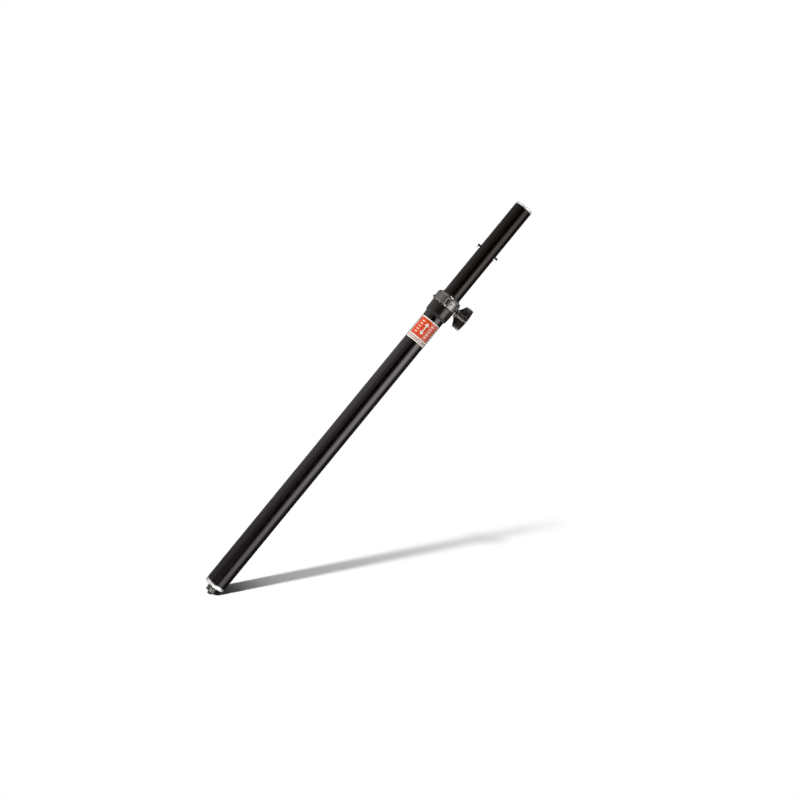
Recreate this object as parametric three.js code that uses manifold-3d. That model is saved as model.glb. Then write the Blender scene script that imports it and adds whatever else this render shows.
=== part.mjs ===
// A telescopic speaker pole: a lower tube that screws into a base, a clamp with a wing
// knob, and an upper tube that carries the loudspeaker. Millimetres, +Z up the pole.
// The origin is the centre of the foot ring's underside, where the pole seats on its base.
// The wing knob points along +X and the label faces -Y.
import * as THREE from "three";
import { mergeVertices } from "three/addons/utils/BufferGeometryUtils.js";
import Module from "manifold-3d";

const wasm = await Module();
wasm.setup();

// Facets of a full turn
const SIDES = 48;
const SMALL_SIDES = 24;
const STUD_SIDES = 32;
const HIDDEN_SIDES = 32;
const HEX_SIDES = 6;
const BEVEL_STEPS = 2;
const ARC_STEPS = 3;
const MERGE_TOLERANCE = 1e-4;

// Clearances and the overrun of every cut
const FIT_GAP = 0.2;
const SLIDE_GAP = 0.2;
const SEAT_GAP = 0.3;
const OVERRUN = 1;

// Upper tube: the 35 mm spigot that a loudspeaker stands on
const UPPER_RADIUS = 17.5;
const UPPER_WALL = 2;
const UPPER_STANDS_OUT = 208.9;
const UPPER_BORE = UPPER_RADIUS - UPPER_WALL;

// Lower tube, sized to pass the upper tube and its liner
const LINER_WALL = 0.6;
const LOWER_WALL = 1.5;
const LOWER_BORE = UPPER_RADIUS + SLIDE_GAP + LINER_WALL + FIT_GAP;
const LOWER_RADIUS = LOWER_BORE + LOWER_WALL;
const LOWER_LENGTH = 678;

// Base plug: the bright foot ring and the spigot above it
const RING_HEIGHT = 6;
const RING_ROUND = 1.2;
const SPIGOT_LENGTH = 30;
const BORE_CHAMFER = 0.8;

// Threaded stud that screws into the base
const STUD_RADIUS = 10;
const STUD_REACH = 12;
const STUD_CHAMFER = 1.5;
const THREAD_PITCH = 2.5;
const THREAD_DEPTH = 1.35;
const THREAD_RUN_IN = 3;
const THREAD_RINGS_PER_PITCH = 4;
const STUD_SHANK_RADIUS = STUD_RADIUS - THREAD_DEPTH / 2;

// Washer, nut and rubber stop above the plug
const WASHER_RADIUS = 17;
const WASHER_THICKNESS = 3;
const NUT_ACROSS_FLATS = 30;
const NUT_HEIGHT = 16;
const STUD_STANDS_OVER_NUT = 2;
const BUMPER_ABOVE_STUD = 5.4;
const BUMPER_EDGE = 1;

// Clamp: plastic sleeve, cast collar, lip over the tube's end
const SLEEVE_LENGTH = 24.5;
const SLEEVE_FOOT_RADIUS = 22.6;
const SLEEVE_TOP_RADIUS = 23.4;
const SLEEVE_CHAMFER = 4.4;
const SLEEVE_EDGE = 0.8;
const COLLAR_HEIGHT = 23.6;
const COLLAR_WALL = 5.2;
const COLLAR_LIP_HEIGHT = 2.5;
const COLLAR_HEM_HEIGHT = 1.3;
const COLLAR_HEM_STEP = 0.35;
const COLLAR_SHOULDER_HEIGHT = 6.5;
const COLLAR_SHOULDER_DEPTH = 3.2;
const COLLAR_RADIUS = LOWER_RADIUS + FIT_GAP + COLLAR_WALL;
const PANEL_WIDTH = 7.4;
const PANEL_HEIGHT = 13;
const PANEL_DEPTH = 0.7;
const PANEL_OFFSET = 1.3;
const PANEL_FOOT = 5.2;
const DIMPLE_RADIUS = 0.9;
const DIMPLE_DEPTH = 1;
const DIMPLE_OFFSET = 9.6;
const BOSS_RADIUS = 8;
const BOSS_STANDS_PROUD = 0.6;
const BOSS_CHAMFER = 0.6;
const SCREW_HEIGHT_IN_COLLAR = 6.6;

// Liner between the tubes, with a flange under the collar's lip
const LINER_LENGTH = 94;
const LINER_FLANGE = 1.4;
const LINER_MOUTH = 1;

// Grub screw that locks the collar to the lower tube
const GRUB_RADIUS = 2;
const GRUB_STANDS_PROUD = 2.2;
const GRUB_SOCKET_RADIUS = 1.15;
const GRUB_SOCKET_DEPTH = 1.6;
const GRUB_CHAMFER = 0.4;

// Clamping screw, its insert in the boss and its pressure pad
const CLAMP_RADIUS = 4;
const CLAMP_TIP_RADIUS = 2.6;
const CLAMP_TIP_LENGTH = 2;
const CLAMP_EMBEDDED = 17;
const CLAMP_KNURL_STEP = 0.5;
const CLAMP_THREAD_PITCH = 1.25;
const CLAMP_TURNS = 1;
const CLAMP_TRAVEL = CLAMP_THREAD_PITCH * CLAMP_TURNS;
const PAD_RADIUS = 4.5;
const PAD_FLOOR = 1;
const PAD_CUP_DEPTH = 2;
const PAD_SADDLE_DEPTH = 0.8;
const INSERT_WALL = 1.2;

// Wing knob
const KNOB_SPAN = 44.6;
const KNOB_REACH = 25.5;
const KNOB_NECK_RADIUS = 8.5;
const KNOB_NECK_LENGTH = 2;
const KNOB_NECK_CONE = 5;
const KNOB_TIP_WIDTH = 14.8;
const KNOB_CROWN = 2.3;
const KNOB_THICKNESS = 9;
const KNOB_ROUND = 1.4;
const KNOB_RIB_WIDTH = 10.5;
const KNOB_RIB_STANDS_PROUD = 2.4;
const KNOB_RIB_SETBACK = 0.5;
const KNOB_CURL_X_SHARE = 0.89;
const KNOB_CURL_Z_SHARE = 0.38;
const GRIP_GROOVES = 5;
const GRIP_GROOVE_RADIUS = 0.7;
const GRIP_GROOVE_PITCH = 2.3;
const GRIP_SIDES = 8;
const KNOB_WASHER_THICKNESS = 1;
const KNOB_WASHER_RADIUS = 6.5;

// Label round the lower tube
const LABEL_HEIGHT = 50;
const LABEL_THICKNESS = 0.2;
const LABEL_GAP = 0.1;
const LABEL_BELOW_SLEEVE = 9.5;
const LABEL_START = THREE.MathUtils.degToRad(193);
const LABEL_TURN = THREE.MathUtils.degToRad(162);
const LABEL_FACETS = 20;

// Upper section: glide plug and skirt at the foot, cross pin and cap at the top
const GLIDE_FLANGE = 4;
const GLIDE_SPIGOT = 26;
const GLIDE_BORE = 9;
const SKIRT_LENGTH = 42.5;
const SKIRT_LIP = 1.2;
const GLIDE_PIN_RADIUS = 2;
const GLIDE_PIN_BORE = 1.1;
const GLIDE_PIN_HEIGHT = 14;
const REST_PIN_RADIUS = 3.25;
const REST_PIN_LENGTH = 46;
const REST_PIN_ROUND = 0.8;
const REST_PIN_BELOW_TOP = 103;
const CAP_HEIGHT = 6;
const CAP_ROUND = 2.6;
const CAP_SPIGOT = 20;
const CAP_SPIGOT_WALL = 3;

// Places up the pole
const LOWER_FOOT = RING_HEIGHT;
const LOWER_TOP = LOWER_FOOT + LOWER_LENGTH;
const PLUG_TOP = RING_HEIGHT + SPIGOT_LENGTH;
const WASHER_TOP = PLUG_TOP + WASHER_THICKNESS;
const NUT_TOP = WASHER_TOP + NUT_HEIGHT;
const STUD_TOP = NUT_TOP + STUD_STANDS_OVER_NUT;
const BUMPER_TOP = STUD_TOP + SEAT_GAP + BUMPER_ABOVE_STUD;
const GLIDE_FOOT = BUMPER_TOP + SEAT_GAP;
const UPPER_FOOT = GLIDE_FOOT + GLIDE_FLANGE;
const COLLAR_TOP = LOWER_TOP + LINER_FLANGE + FIT_GAP + COLLAR_LIP_HEIGHT;
const UPPER_TOP = COLLAR_TOP + UPPER_STANDS_OUT;
const CAP_TOP = UPPER_TOP + CAP_HEIGHT;
const REST_PIN_Z = UPPER_TOP - REST_PIN_BELOW_TOP;
const COLLAR_FOOT = COLLAR_TOP - COLLAR_HEIGHT;
const SLEEVE_FOOT = COLLAR_FOOT - SLEEVE_LENGTH;
const LABEL_FOOT = SLEEVE_FOOT - LABEL_BELOW_SLEEVE - LABEL_HEIGHT;
const CLAMP_Z = COLLAR_FOOT + SCREW_HEIGHT_IN_COLLAR;
const LINER_FOOT = LOWER_TOP - LINER_LENGTH;

// Places outwards along the clamping screw, from the pole's axis
const BOSS_FACE = COLLAR_RADIUS + BOSS_STANDS_PROUD;
const PAD_INNER = UPPER_RADIUS + SEAT_GAP;
const PAD_CUP_FLOOR = PAD_INNER + PAD_FLOOR;
const PAD_OUTER = PAD_CUP_FLOOR + PAD_CUP_DEPTH;
const CLAMP_TIP = PAD_CUP_FLOOR + SEAT_GAP;
const CLAMP_SHOULDER = CLAMP_TIP + CLAMP_TIP_LENGTH;
const INSERT_INNER = PAD_OUTER + CLAMP_TRAVEL + SEAT_GAP;
const KNOB_WASHER_FACE = BOSS_FACE + SEAT_GAP;
const KNOB_FACE = KNOB_WASHER_FACE + KNOB_WASHER_THICKNESS;
const KNOB_OUTER = KNOB_FACE + KNOB_REACH - KNOB_WASHER_THICKNESS;
const CLAMP_END = KNOB_FACE + CLAMP_EMBEDDED;

const FINISHES = {
  black_steel: { color: 0x1d1b1a, roughness: 0.42, metalness: 0.2 },
  bright_aluminium: { color: 0xdcdcda, roughness: 0.3, metalness: 0.9 },
  cast_metal: { color: 0x7a7672, roughness: 0.5, metalness: 0.7 },
  black_plastic: { color: 0x1c1a1a, roughness: 0.5, metalness: 0 },
  nylon: { color: 0x2b2b2c, roughness: 0.55, metalness: 0 },
  rubber: { color: 0x19191a, roughness: 0.85, metalness: 0 },
  chrome: { color: 0xe6e8ea, roughness: 0.12, metalness: 1 },
  zinc_steel: { color: 0xa9abad, roughness: 0.35, metalness: 0.9 },
  dark_steel: { color: 0x4b4744, roughness: 0.38, metalness: 0.9 },
  printed_label: { color: 0xd9432a, roughness: 0.4, metalness: 0 },
};

// Solids and booleans

function solidFrom(geometry) {
  const bare = geometry.clone();
  bare.deleteAttribute("normal");
  bare.deleteAttribute("uv");
  const merged = mergeVertices(bare, MERGE_TOLERANCE);
  return new wasm.Manifold(
    new wasm.Mesh({
      numProp: 3,
      vertProperties: new Float32Array(merged.attributes.position.array),
      triVerts: new Uint32Array(merged.index.array),
    }),
  );
}

function geometryFrom(solid) {
  const mesh = solid.getMesh();
  const geometry = new THREE.BufferGeometry();
  const positions = new THREE.BufferAttribute(mesh.vertProperties, mesh.numProp);
  geometry.setAttribute("position", positions);
  geometry.setIndex(new THREE.BufferAttribute(mesh.triVerts, 1));
  return geometry;
}

function joined(geometries) {
  const [first, ...others] = geometries.map(solidFrom);
  return geometryFrom(others.reduce((sum, next) => sum.add(next), first));
}

function cut(geometry, tools) {
  const whole = solidFrom(geometry);
  return geometryFrom(tools.reduce((rest, tool) => rest.subtract(solidFrom(tool)), whole));
}

// Turned shapes: an outline of [radius, height] points, anticlockwise, round +Z

function turned(outline, sides = SIDES) {
  const points = outline.map(([radius, height]) => new THREE.Vector2(radius, height));
  const open = outline[0][0] !== 0 || outline[outline.length - 1][0] !== 0;
  if (open) points.push(points[0].clone());
  return new THREE.LatheGeometry(points, sides).rotateX(Math.PI / 2);
}

function tubeBetween(bore, radius, low, high, sides = SIDES) {
  return turned([[bore, low], [radius, low], [radius, high], [bore, high]], sides);
}

function rodBetween(radius, low, high, sides = SIDES) {
  return turned([[0, low], [radius, low], [radius, high], [0, high]], sides);
}

// A shape turned round +Z is laid along +X, or along -X, at a height up the pole
function layAlongX(geometry, height, way = 1) {
  return geometry.rotateY((way * Math.PI) / 2).translate(0, 0, height);
}

function layAlongY(geometry, height) {
  return geometry.rotateX(-Math.PI / 2).translate(0, 0, height);
}

function roundedCorner(radius, height, round, quarter) {
  const turnStep = Math.PI / 2 / ARC_STEPS;
  return Array.from({ length: ARC_STEPS + 1 }, (_, step) => {
    const angle = (quarter - 1) * (Math.PI / 2) + step * turnStep;
    return [radius + round * Math.cos(angle), height + round * Math.sin(angle)];
  });
}

function hexPrism(acrossFlats, low, high) {
  const corner = acrossFlats / 2 / Math.cos(Math.PI / HEX_SIDES);
  return rodBetween(corner, low, high, HEX_SIDES);
}

// Lower section

function lowerTube() {
  const wall = tubeBetween(LOWER_BORE, LOWER_RADIUS, LOWER_FOOT, LOWER_TOP);
  const padHole = rodBetween(PAD_RADIUS + FIT_GAP, 0, LOWER_RADIUS + OVERRUN, SMALL_SIDES);
  const grubHole = rodBetween(GRUB_RADIUS + FIT_GAP, 0, LOWER_RADIUS + OVERRUN, SMALL_SIDES);
  return cut(wall, [layAlongX(padHole, CLAMP_Z), layAlongX(grubHole, CLAMP_Z, -1)]);
}

function basePlug() {
  const bore = STUD_RADIUS + FIT_GAP;
  const spigot = LOWER_BORE - FIT_GAP;
  return turned([
    [bore + BORE_CHAMFER, 0],
    ...roundedCorner(LOWER_RADIUS - RING_ROUND, RING_ROUND, RING_ROUND, 0),
    [LOWER_RADIUS, RING_HEIGHT],
    [spigot, RING_HEIGHT],
    [spigot, PLUG_TOP - BORE_CHAMFER],
    [spigot - BORE_CHAMFER, PLUG_TOP],
    [bore, PLUG_TOP],
    [bore, BORE_CHAMFER],
  ]);
}

// The stud's surface is a grid of rings whose radius follows the thread's helix
function threadedStud() {
  const ringStep = THREAD_PITCH / THREAD_RINGS_PER_PITCH;
  const threadedLength = STUD_REACH + THREAD_RUN_IN;
  const threadRings = Math.round(threadedLength / ringStep);
  const heights = Array.from({ length: threadRings + 1 }, (_, ring) => ring * ringStep - STUD_REACH);
  const threadEnd = heights[threadRings];
  const radiusAt = (height, turn) => {
    if (height >= threadEnd) return STUD_SHANK_RADIUS;
    const phase = (((height / THREAD_PITCH - turn) % 1) + 1) % 1;
    const crest = STUD_RADIUS - THREAD_DEPTH * Math.abs(1 - 2 * phase);
    const chamfered = STUD_RADIUS - STUD_CHAMFER + (height + STUD_REACH);
    return Math.min(crest, chamfered);
  };
  const rings = [...heights, STUD_TOP];
  const positions = [0, 0, -STUD_REACH, 0, 0, STUD_TOP];
  for (const height of rings) {
    for (let side = 0; side < STUD_SIDES; side++) {
      const turn = side / STUD_SIDES;
      const radius = radiusAt(height, turn);
      const angle = turn * 2 * Math.PI;
      positions.push(radius * Math.cos(angle), radius * Math.sin(angle), height);
    }
  }
  const vertex = (ring, side) => 2 + ring * STUD_SIDES + (side % STUD_SIDES);
  const faces = [];
  for (let side = 0; side < STUD_SIDES; side++) {
    faces.push(0, vertex(0, side + 1), vertex(0, side));
    faces.push(1, vertex(rings.length - 1, side), vertex(rings.length - 1, side + 1));
    for (let ring = 0; ring < rings.length - 1; ring++) {
      faces.push(vertex(ring, side), vertex(ring, side + 1), vertex(ring + 1, side + 1));
      faces.push(vertex(ring, side), vertex(ring + 1, side + 1), vertex(ring + 1, side));
    }
  }
  const geometry = new THREE.BufferGeometry();
  geometry.setAttribute("position", new THREE.Float32BufferAttribute(positions, 3));
  geometry.setIndex(faces);
  return geometry;
}

function studWasher() {
  return tubeBetween(STUD_RADIUS + FIT_GAP, WASHER_RADIUS, PLUG_TOP, WASHER_TOP, HIDDEN_SIDES);
}

function studNut() {
  const bore = rodBetween(STUD_RADIUS + FIT_GAP, WASHER_TOP - OVERRUN, NUT_TOP + OVERRUN);
  return cut(hexPrism(NUT_ACROSS_FLATS, WASHER_TOP, NUT_TOP), [bore]);
}

// A rubber cup that sits on the nut, over the stud's end
function bottomBumper() {
  const radius = LOWER_BORE - FIT_GAP;
  const foot = NUT_TOP + SEAT_GAP;
  const cup = STUD_RADIUS + FIT_GAP;
  const outline = [
    [0, STUD_TOP + SEAT_GAP],
    [cup, STUD_TOP + SEAT_GAP],
    [cup, foot],
    [radius, foot],
    [radius, BUMPER_TOP - BUMPER_EDGE],
    [radius - BUMPER_EDGE, BUMPER_TOP],
    [0, BUMPER_TOP],
  ];
  return turned(outline, HIDDEN_SIDES);
}

function tubeSleeve() {
  const bore = LOWER_RADIUS + FIT_GAP;
  return turned([
    [bore, SLEEVE_FOOT],
    [bore + SLEEVE_EDGE, SLEEVE_FOOT],
    [SLEEVE_FOOT_RADIUS, SLEEVE_FOOT + SLEEVE_CHAMFER],
    [SLEEVE_TOP_RADIUS, COLLAR_FOOT - SLEEVE_EDGE],
    [SLEEVE_TOP_RADIUS - SLEEVE_EDGE, COLLAR_FOOT],
    [bore, COLLAR_FOOT],
  ]);
}

function collarCasting() {
  const bore = LOWER_RADIUS + FIT_GAP;
  const mouth = UPPER_RADIUS + SLIDE_GAP;
  const lip = COLLAR_TOP - COLLAR_LIP_HEIGHT;
  const shoulder = Array.from({ length: ARC_STEPS + 1 }, (_, step) => {
    const angle = (step / ARC_STEPS) * (Math.PI / 2);
    const inwards = COLLAR_SHOULDER_DEPTH * (1 - Math.cos(angle));
    const upwards = COLLAR_SHOULDER_HEIGHT * Math.sin(angle);
    return [COLLAR_RADIUS - inwards, COLLAR_TOP - COLLAR_SHOULDER_HEIGHT + upwards];
  });
  return turned([
    [bore, COLLAR_FOOT],
    [COLLAR_RADIUS, COLLAR_FOOT],
    [COLLAR_RADIUS, COLLAR_FOOT + COLLAR_HEM_HEIGHT],
    [COLLAR_RADIUS - COLLAR_HEM_STEP, COLLAR_FOOT + COLLAR_HEM_HEIGHT + COLLAR_HEM_STEP],
    [COLLAR_RADIUS - COLLAR_HEM_STEP, COLLAR_TOP - COLLAR_SHOULDER_HEIGHT - COLLAR_HEM_STEP],
    ...shoulder,
    [mouth, COLLAR_TOP],
    [mouth, lip],
    [bore, lip],
  ]);
}

function clampCollar() {
  const bore = LOWER_RADIUS + FIT_GAP;
  const boss = turned(
    [
      [0, bore + COLLAR_WALL / 2],
      [BOSS_RADIUS, bore + COLLAR_WALL / 2],
      [BOSS_RADIUS, BOSS_FACE - BOSS_CHAMFER],
      [BOSS_RADIUS - BOSS_CHAMFER, BOSS_FACE],
      [0, BOSS_FACE],
    ],
    SMALL_SIDES,
  );
  const bossCrop = rodBetween(BOSS_FACE + BOSS_RADIUS, COLLAR_FOOT - BOSS_RADIUS, COLLAR_FOOT);
  const casting = joined([collarCasting(), cut(layAlongX(boss, CLAMP_Z), [bossCrop])]);
  const reach = BOSS_FACE + OVERRUN;
  const padHole = rodBetween(PAD_RADIUS + FIT_GAP, 0, reach, SMALL_SIDES);
  const insertHole = rodBetween(insertRadius() + FIT_GAP, INSERT_INNER - FIT_GAP, reach, SMALL_SIDES);
  const grubHole = rodBetween(GRUB_RADIUS + FIT_GAP, 0, reach, SMALL_SIDES);
  const panel = new THREE.BoxGeometry(PANEL_WIDTH, 2 * PANEL_DEPTH, PANEL_HEIGHT);
  panel.translate(
    PANEL_OFFSET,
    -(COLLAR_RADIUS - COLLAR_HEM_STEP),
    COLLAR_FOOT + PANEL_FOOT + PANEL_HEIGHT / 2,
  );
  const dimple = rodBetween(DIMPLE_RADIUS, 0, DIMPLE_DEPTH + OVERRUN, SMALL_SIDES);
  dimple.rotateX(Math.PI / 2);
  const dimpleDepthAt = Math.sqrt(COLLAR_RADIUS ** 2 - DIMPLE_OFFSET ** 2) - DIMPLE_DEPTH;
  dimple.translate(DIMPLE_OFFSET, -dimpleDepthAt, COLLAR_FOOT + PANEL_FOOT + PANEL_HEIGHT / 2);
  return cut(casting, [
    layAlongX(padHole, CLAMP_Z),
    layAlongX(insertHole, CLAMP_Z),
    layAlongX(grubHole, CLAMP_Z, -1),
    panel,
    dimple,
  ]);
}

// The grub screw's point ends inside the lower tube's wall, clear of the liner
function grubScrew() {
  const end = COLLAR_RADIUS - COLLAR_HEM_STEP + GRUB_STANDS_PROUD;
  const screw = turned(
    [
      [0, LOWER_BORE + FIT_GAP],
      [GRUB_RADIUS - GRUB_CHAMFER, LOWER_BORE + FIT_GAP],
      [GRUB_RADIUS, LOWER_BORE + FIT_GAP + GRUB_CHAMFER],
      [GRUB_RADIUS, end - GRUB_CHAMFER],
      [GRUB_RADIUS - GRUB_CHAMFER, end],
      [0, end],
    ],
    SMALL_SIDES,
  );
  const socket = hexPrism(2 * GRUB_SOCKET_RADIUS, end - GRUB_SOCKET_DEPTH, end + OVERRUN);
  return layAlongX(cut(screw, [socket]), CLAMP_Z, -1);
}

function insertRadius() {
  return CLAMP_RADIUS + SLIDE_GAP + INSERT_WALL;
}

function bossInsert() {
  const bore = CLAMP_RADIUS + SLIDE_GAP;
  return layAlongX(tubeBetween(bore, insertRadius(), INSERT_INNER, BOSS_FACE, SMALL_SIDES), CLAMP_Z);
}

function guideLiner() {
  const bore = UPPER_RADIUS + SLIDE_GAP;
  const outer = bore + LINER_WALL;
  const flange = LOWER_RADIUS - FIT_GAP;
  const flangeFoot = LOWER_TOP + FIT_GAP / 2;
  const flangeTop = LOWER_TOP + LINER_FLANGE;
  const outline = [
    [bore + LINER_WALL / 2, LINER_FOOT],
    [outer, LINER_FOOT],
    [outer, flangeFoot],
    [flange, flangeFoot],
    [flange, flangeTop],
    [bore, flangeTop],
    [bore, LINER_FOOT + LINER_MOUTH],
  ];
  const padHole = rodBetween(PAD_RADIUS + FIT_GAP, 0, LOWER_RADIUS, SMALL_SIDES);
  return cut(turned(outline, HIDDEN_SIDES), [layAlongX(padHole, CLAMP_Z)]);
}

function tubeLabel() {
  const inner = LOWER_RADIUS + LABEL_GAP;
  const outer = inner + LABEL_THICKNESS;
  const ring = new THREE.Shape();
  ring.absarc(0, 0, outer, LABEL_START, LABEL_START + LABEL_TURN, false);
  ring.absarc(0, 0, inner, LABEL_START + LABEL_TURN, LABEL_START, true);
  const options = { depth: LABEL_HEIGHT, bevelEnabled: false, curveSegments: LABEL_FACETS };
  return new THREE.ExtrudeGeometry(ring, options).translate(0, 0, LABEL_FOOT);
}

// Clamp

// The pad's inner face is hollowed to sit on the upper tube
function pressurePad() {
  const cupRadius = CLAMP_TIP_RADIUS + SLIDE_GAP;
  const pad = turned(
    [
      [0, PAD_INNER - PAD_SADDLE_DEPTH],
      [PAD_RADIUS, PAD_INNER - PAD_SADDLE_DEPTH],
      [PAD_RADIUS, PAD_OUTER],
      [cupRadius, PAD_OUTER],
      [cupRadius, PAD_CUP_FLOOR],
      [0, PAD_CUP_FLOOR],
    ],
    SMALL_SIDES,
  );
  const saddle = rodBetween(PAD_INNER, CLAMP_Z - 2 * PAD_RADIUS, CLAMP_Z + 2 * PAD_RADIUS);
  return cut(layAlongX(pad, CLAMP_Z), [saddle]);
}

function clampScrew() {
  const knurl = CLAMP_RADIUS + CLAMP_KNURL_STEP;
  const screw = turned(
    [
      [0, CLAMP_TIP],
      [CLAMP_TIP_RADIUS, CLAMP_TIP],
      [CLAMP_TIP_RADIUS, CLAMP_SHOULDER],
      [CLAMP_RADIUS - CLAMP_KNURL_STEP, CLAMP_SHOULDER],
      [CLAMP_RADIUS, CLAMP_SHOULDER + CLAMP_KNURL_STEP],
      [CLAMP_RADIUS, KNOB_FACE + KNOB_NECK_LENGTH],
      [knurl, KNOB_FACE + KNOB_NECK_LENGTH],
      [knurl, CLAMP_END],
      [0, CLAMP_END],
    ],
    SMALL_SIDES,
  );
  return layAlongX(screw, CLAMP_Z);
}

function knobWasher() {
  const bore = CLAMP_RADIUS + SLIDE_GAP;
  const washer = tubeBetween(bore, KNOB_WASHER_RADIUS, KNOB_WASHER_FACE, KNOB_FACE - SLIDE_GAP, SMALL_SIDES);
  return layAlongX(washer, CLAMP_Z);
}

// The wings' outline: x runs outwards along the screw, y up the pole
function wingOutline() {
  const tip = KNOB_SPAN / 2;
  const tipOuter = KNOB_OUTER - KNOB_CROWN;
  const tipInner = tipOuter - KNOB_TIP_WIDTH;
  const curlX = KNOB_FACE + (tipInner - KNOB_FACE) * KNOB_CURL_X_SHARE;
  const curlZ = KNOB_NECK_RADIUS + (tip - KNOB_NECK_RADIUS) * KNOB_CURL_Z_SHARE;
  const wing = new THREE.Shape();
  wing.moveTo(KNOB_FACE, -KNOB_NECK_RADIUS);
  wing.quadraticCurveTo(curlX, -curlZ, tipInner, -tip);
  wing.lineTo(tipOuter, -tip);
  wing.quadraticCurveTo(KNOB_OUTER + KNOB_CROWN, 0, tipOuter, tip);
  wing.lineTo(tipInner, tip);
  wing.quadraticCurveTo(curlX, curlZ, KNOB_FACE, KNOB_NECK_RADIUS);
  wing.closePath();
  return wing;
}

function wingPlate() {
  const plate = new THREE.ExtrudeGeometry(wingOutline(), {
    depth: KNOB_THICKNESS - 2 * KNOB_ROUND,
    bevelThickness: KNOB_ROUND,
    bevelSize: KNOB_ROUND,
    bevelOffset: -KNOB_ROUND,
    bevelSegments: BEVEL_STEPS,
    curveSegments: 2 * ARC_STEPS,
  });
  plate.translate(0, 0, KNOB_ROUND - KNOB_THICKNESS / 2);
  return plate.rotateX(Math.PI / 2).translate(0, 0, CLAMP_Z);
}

function knobNeck() {
  const neckEnd = KNOB_FACE + KNOB_NECK_LENGTH;
  const coneEnd = neckEnd + KNOB_NECK_CONE;
  const neck = turned(
    [
      [0, KNOB_FACE],
      [KNOB_NECK_RADIUS, KNOB_FACE],
      [KNOB_NECK_RADIUS, neckEnd],
      [KNOB_THICKNESS / 2, coneEnd],
      [0, coneEnd],
    ],
    SMALL_SIDES,
  );
  return layAlongX(neck, CLAMP_Z);
}

function knobRib() {
  const rib = rodBetween(KNOB_RIB_WIDTH / 2, KNOB_FACE, KNOB_OUTER - KNOB_RIB_SETBACK, SMALL_SIDES);
  const height = KNOB_THICKNESS / 2 + KNOB_RIB_STANDS_PROUD;
  rib.scale(1, height / (KNOB_RIB_WIDTH / 2), 1);
  return layAlongX(rib, CLAMP_Z);
}

// Grip grooves run across the flat end of each wing
function gripGrooves() {
  const tipMiddle = KNOB_OUTER - KNOB_CROWN - KNOB_TIP_WIDTH / 2;
  const half = KNOB_THICKNESS / 2 + OVERRUN;
  return [-1, 1].flatMap((wing) =>
    Array.from({ length: GRIP_GROOVES }, (_, index) => {
      const along = (index - (GRIP_GROOVES - 1) / 2) * GRIP_GROOVE_PITCH;
      const groove = rodBetween(GRIP_GROOVE_RADIUS, -half, half, GRIP_SIDES);
      const height = CLAMP_Z + (wing * KNOB_SPAN) / 2;
      return layAlongY(groove, height).translate(tipMiddle + along, 0, 0);
    }),
  );
}

function wingKnob() {
  const knob = joined([wingPlate(), knobNeck(), knobRib()]);
  const neckEnd = KNOB_FACE + KNOB_NECK_LENGTH;
  const shankHole = rodBetween(CLAMP_RADIUS + FIT_GAP, KNOB_FACE - OVERRUN, neckEnd, SMALL_SIDES);
  const knurlRadius = CLAMP_RADIUS + CLAMP_KNURL_STEP + FIT_GAP;
  const knurlHole = rodBetween(knurlRadius, neckEnd - FIT_GAP, CLAMP_END + FIT_GAP, SMALL_SIDES);
  const bores = [layAlongX(shankHole, CLAMP_Z), layAlongX(knurlHole, CLAMP_Z)];
  return cut(knob, [...bores, ...gripGrooves()]);
}

// Upper section

function crossHole(radius, height, lay) {
  const hole = rodBetween(radius + FIT_GAP, -UPPER_RADIUS - OVERRUN, UPPER_RADIUS + OVERRUN, SMALL_SIDES);
  return lay(hole, height);
}

function upperTube() {
  return cut(tubeBetween(UPPER_BORE, UPPER_RADIUS, UPPER_FOOT, UPPER_TOP), [
    crossHole(REST_PIN_RADIUS, REST_PIN_Z, layAlongX),
    crossHole(GLIDE_PIN_RADIUS, UPPER_FOOT + GLIDE_PIN_HEIGHT, layAlongY),
  ]);
}

function topCap() {
  const spigot = UPPER_BORE - FIT_GAP;
  const spigotBore = spigot - CAP_SPIGOT_WALL;
  const spigotFoot = UPPER_TOP - CAP_SPIGOT;
  return turned([
    [0, UPPER_TOP],
    [spigotBore, UPPER_TOP],
    [spigotBore, spigotFoot],
    [spigot, spigotFoot],
    [spigot, UPPER_TOP],
    [UPPER_RADIUS, UPPER_TOP],
    ...roundedCorner(UPPER_RADIUS - CAP_ROUND, CAP_TOP - CAP_ROUND, CAP_ROUND, 1),
    [0, CAP_TOP],
  ]);
}

function restPin() {
  const half = REST_PIN_LENGTH / 2;
  const inner = REST_PIN_RADIUS - REST_PIN_ROUND;
  const pin = turned(
    [
      [0, -half],
      ...roundedCorner(inner, REST_PIN_ROUND - half, REST_PIN_ROUND, 0),
      ...roundedCorner(inner, half - REST_PIN_ROUND, REST_PIN_ROUND, 1),
      [0, half],
    ],
    SMALL_SIDES,
  );
  return layAlongX(pin, REST_PIN_Z);
}

function glidePlug() {
  const spigot = UPPER_BORE - FIT_GAP;
  const flange = LOWER_BORE - FIT_GAP;
  const outline = [
    [GLIDE_BORE, GLIDE_FOOT],
    [flange - BORE_CHAMFER, GLIDE_FOOT],
    [flange, GLIDE_FOOT + BORE_CHAMFER],
    [flange, UPPER_FOOT - FIT_GAP],
    [spigot, UPPER_FOOT - FIT_GAP],
    [spigot, UPPER_FOOT + GLIDE_SPIGOT],
    [GLIDE_BORE, UPPER_FOOT + GLIDE_SPIGOT],
  ];
  const pinHole = crossHole(GLIDE_PIN_RADIUS, UPPER_FOOT + GLIDE_PIN_HEIGHT, layAlongY);
  return cut(turned(outline, HIDDEN_SIDES), [pinHole]);
}

function glidePin() {
  const half = UPPER_RADIUS - FIT_GAP;
  const pin = tubeBetween(GLIDE_PIN_BORE, GLIDE_PIN_RADIUS, -half, half, SMALL_SIDES);
  return layAlongY(pin, UPPER_FOOT + GLIDE_PIN_HEIGHT);
}

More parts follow.
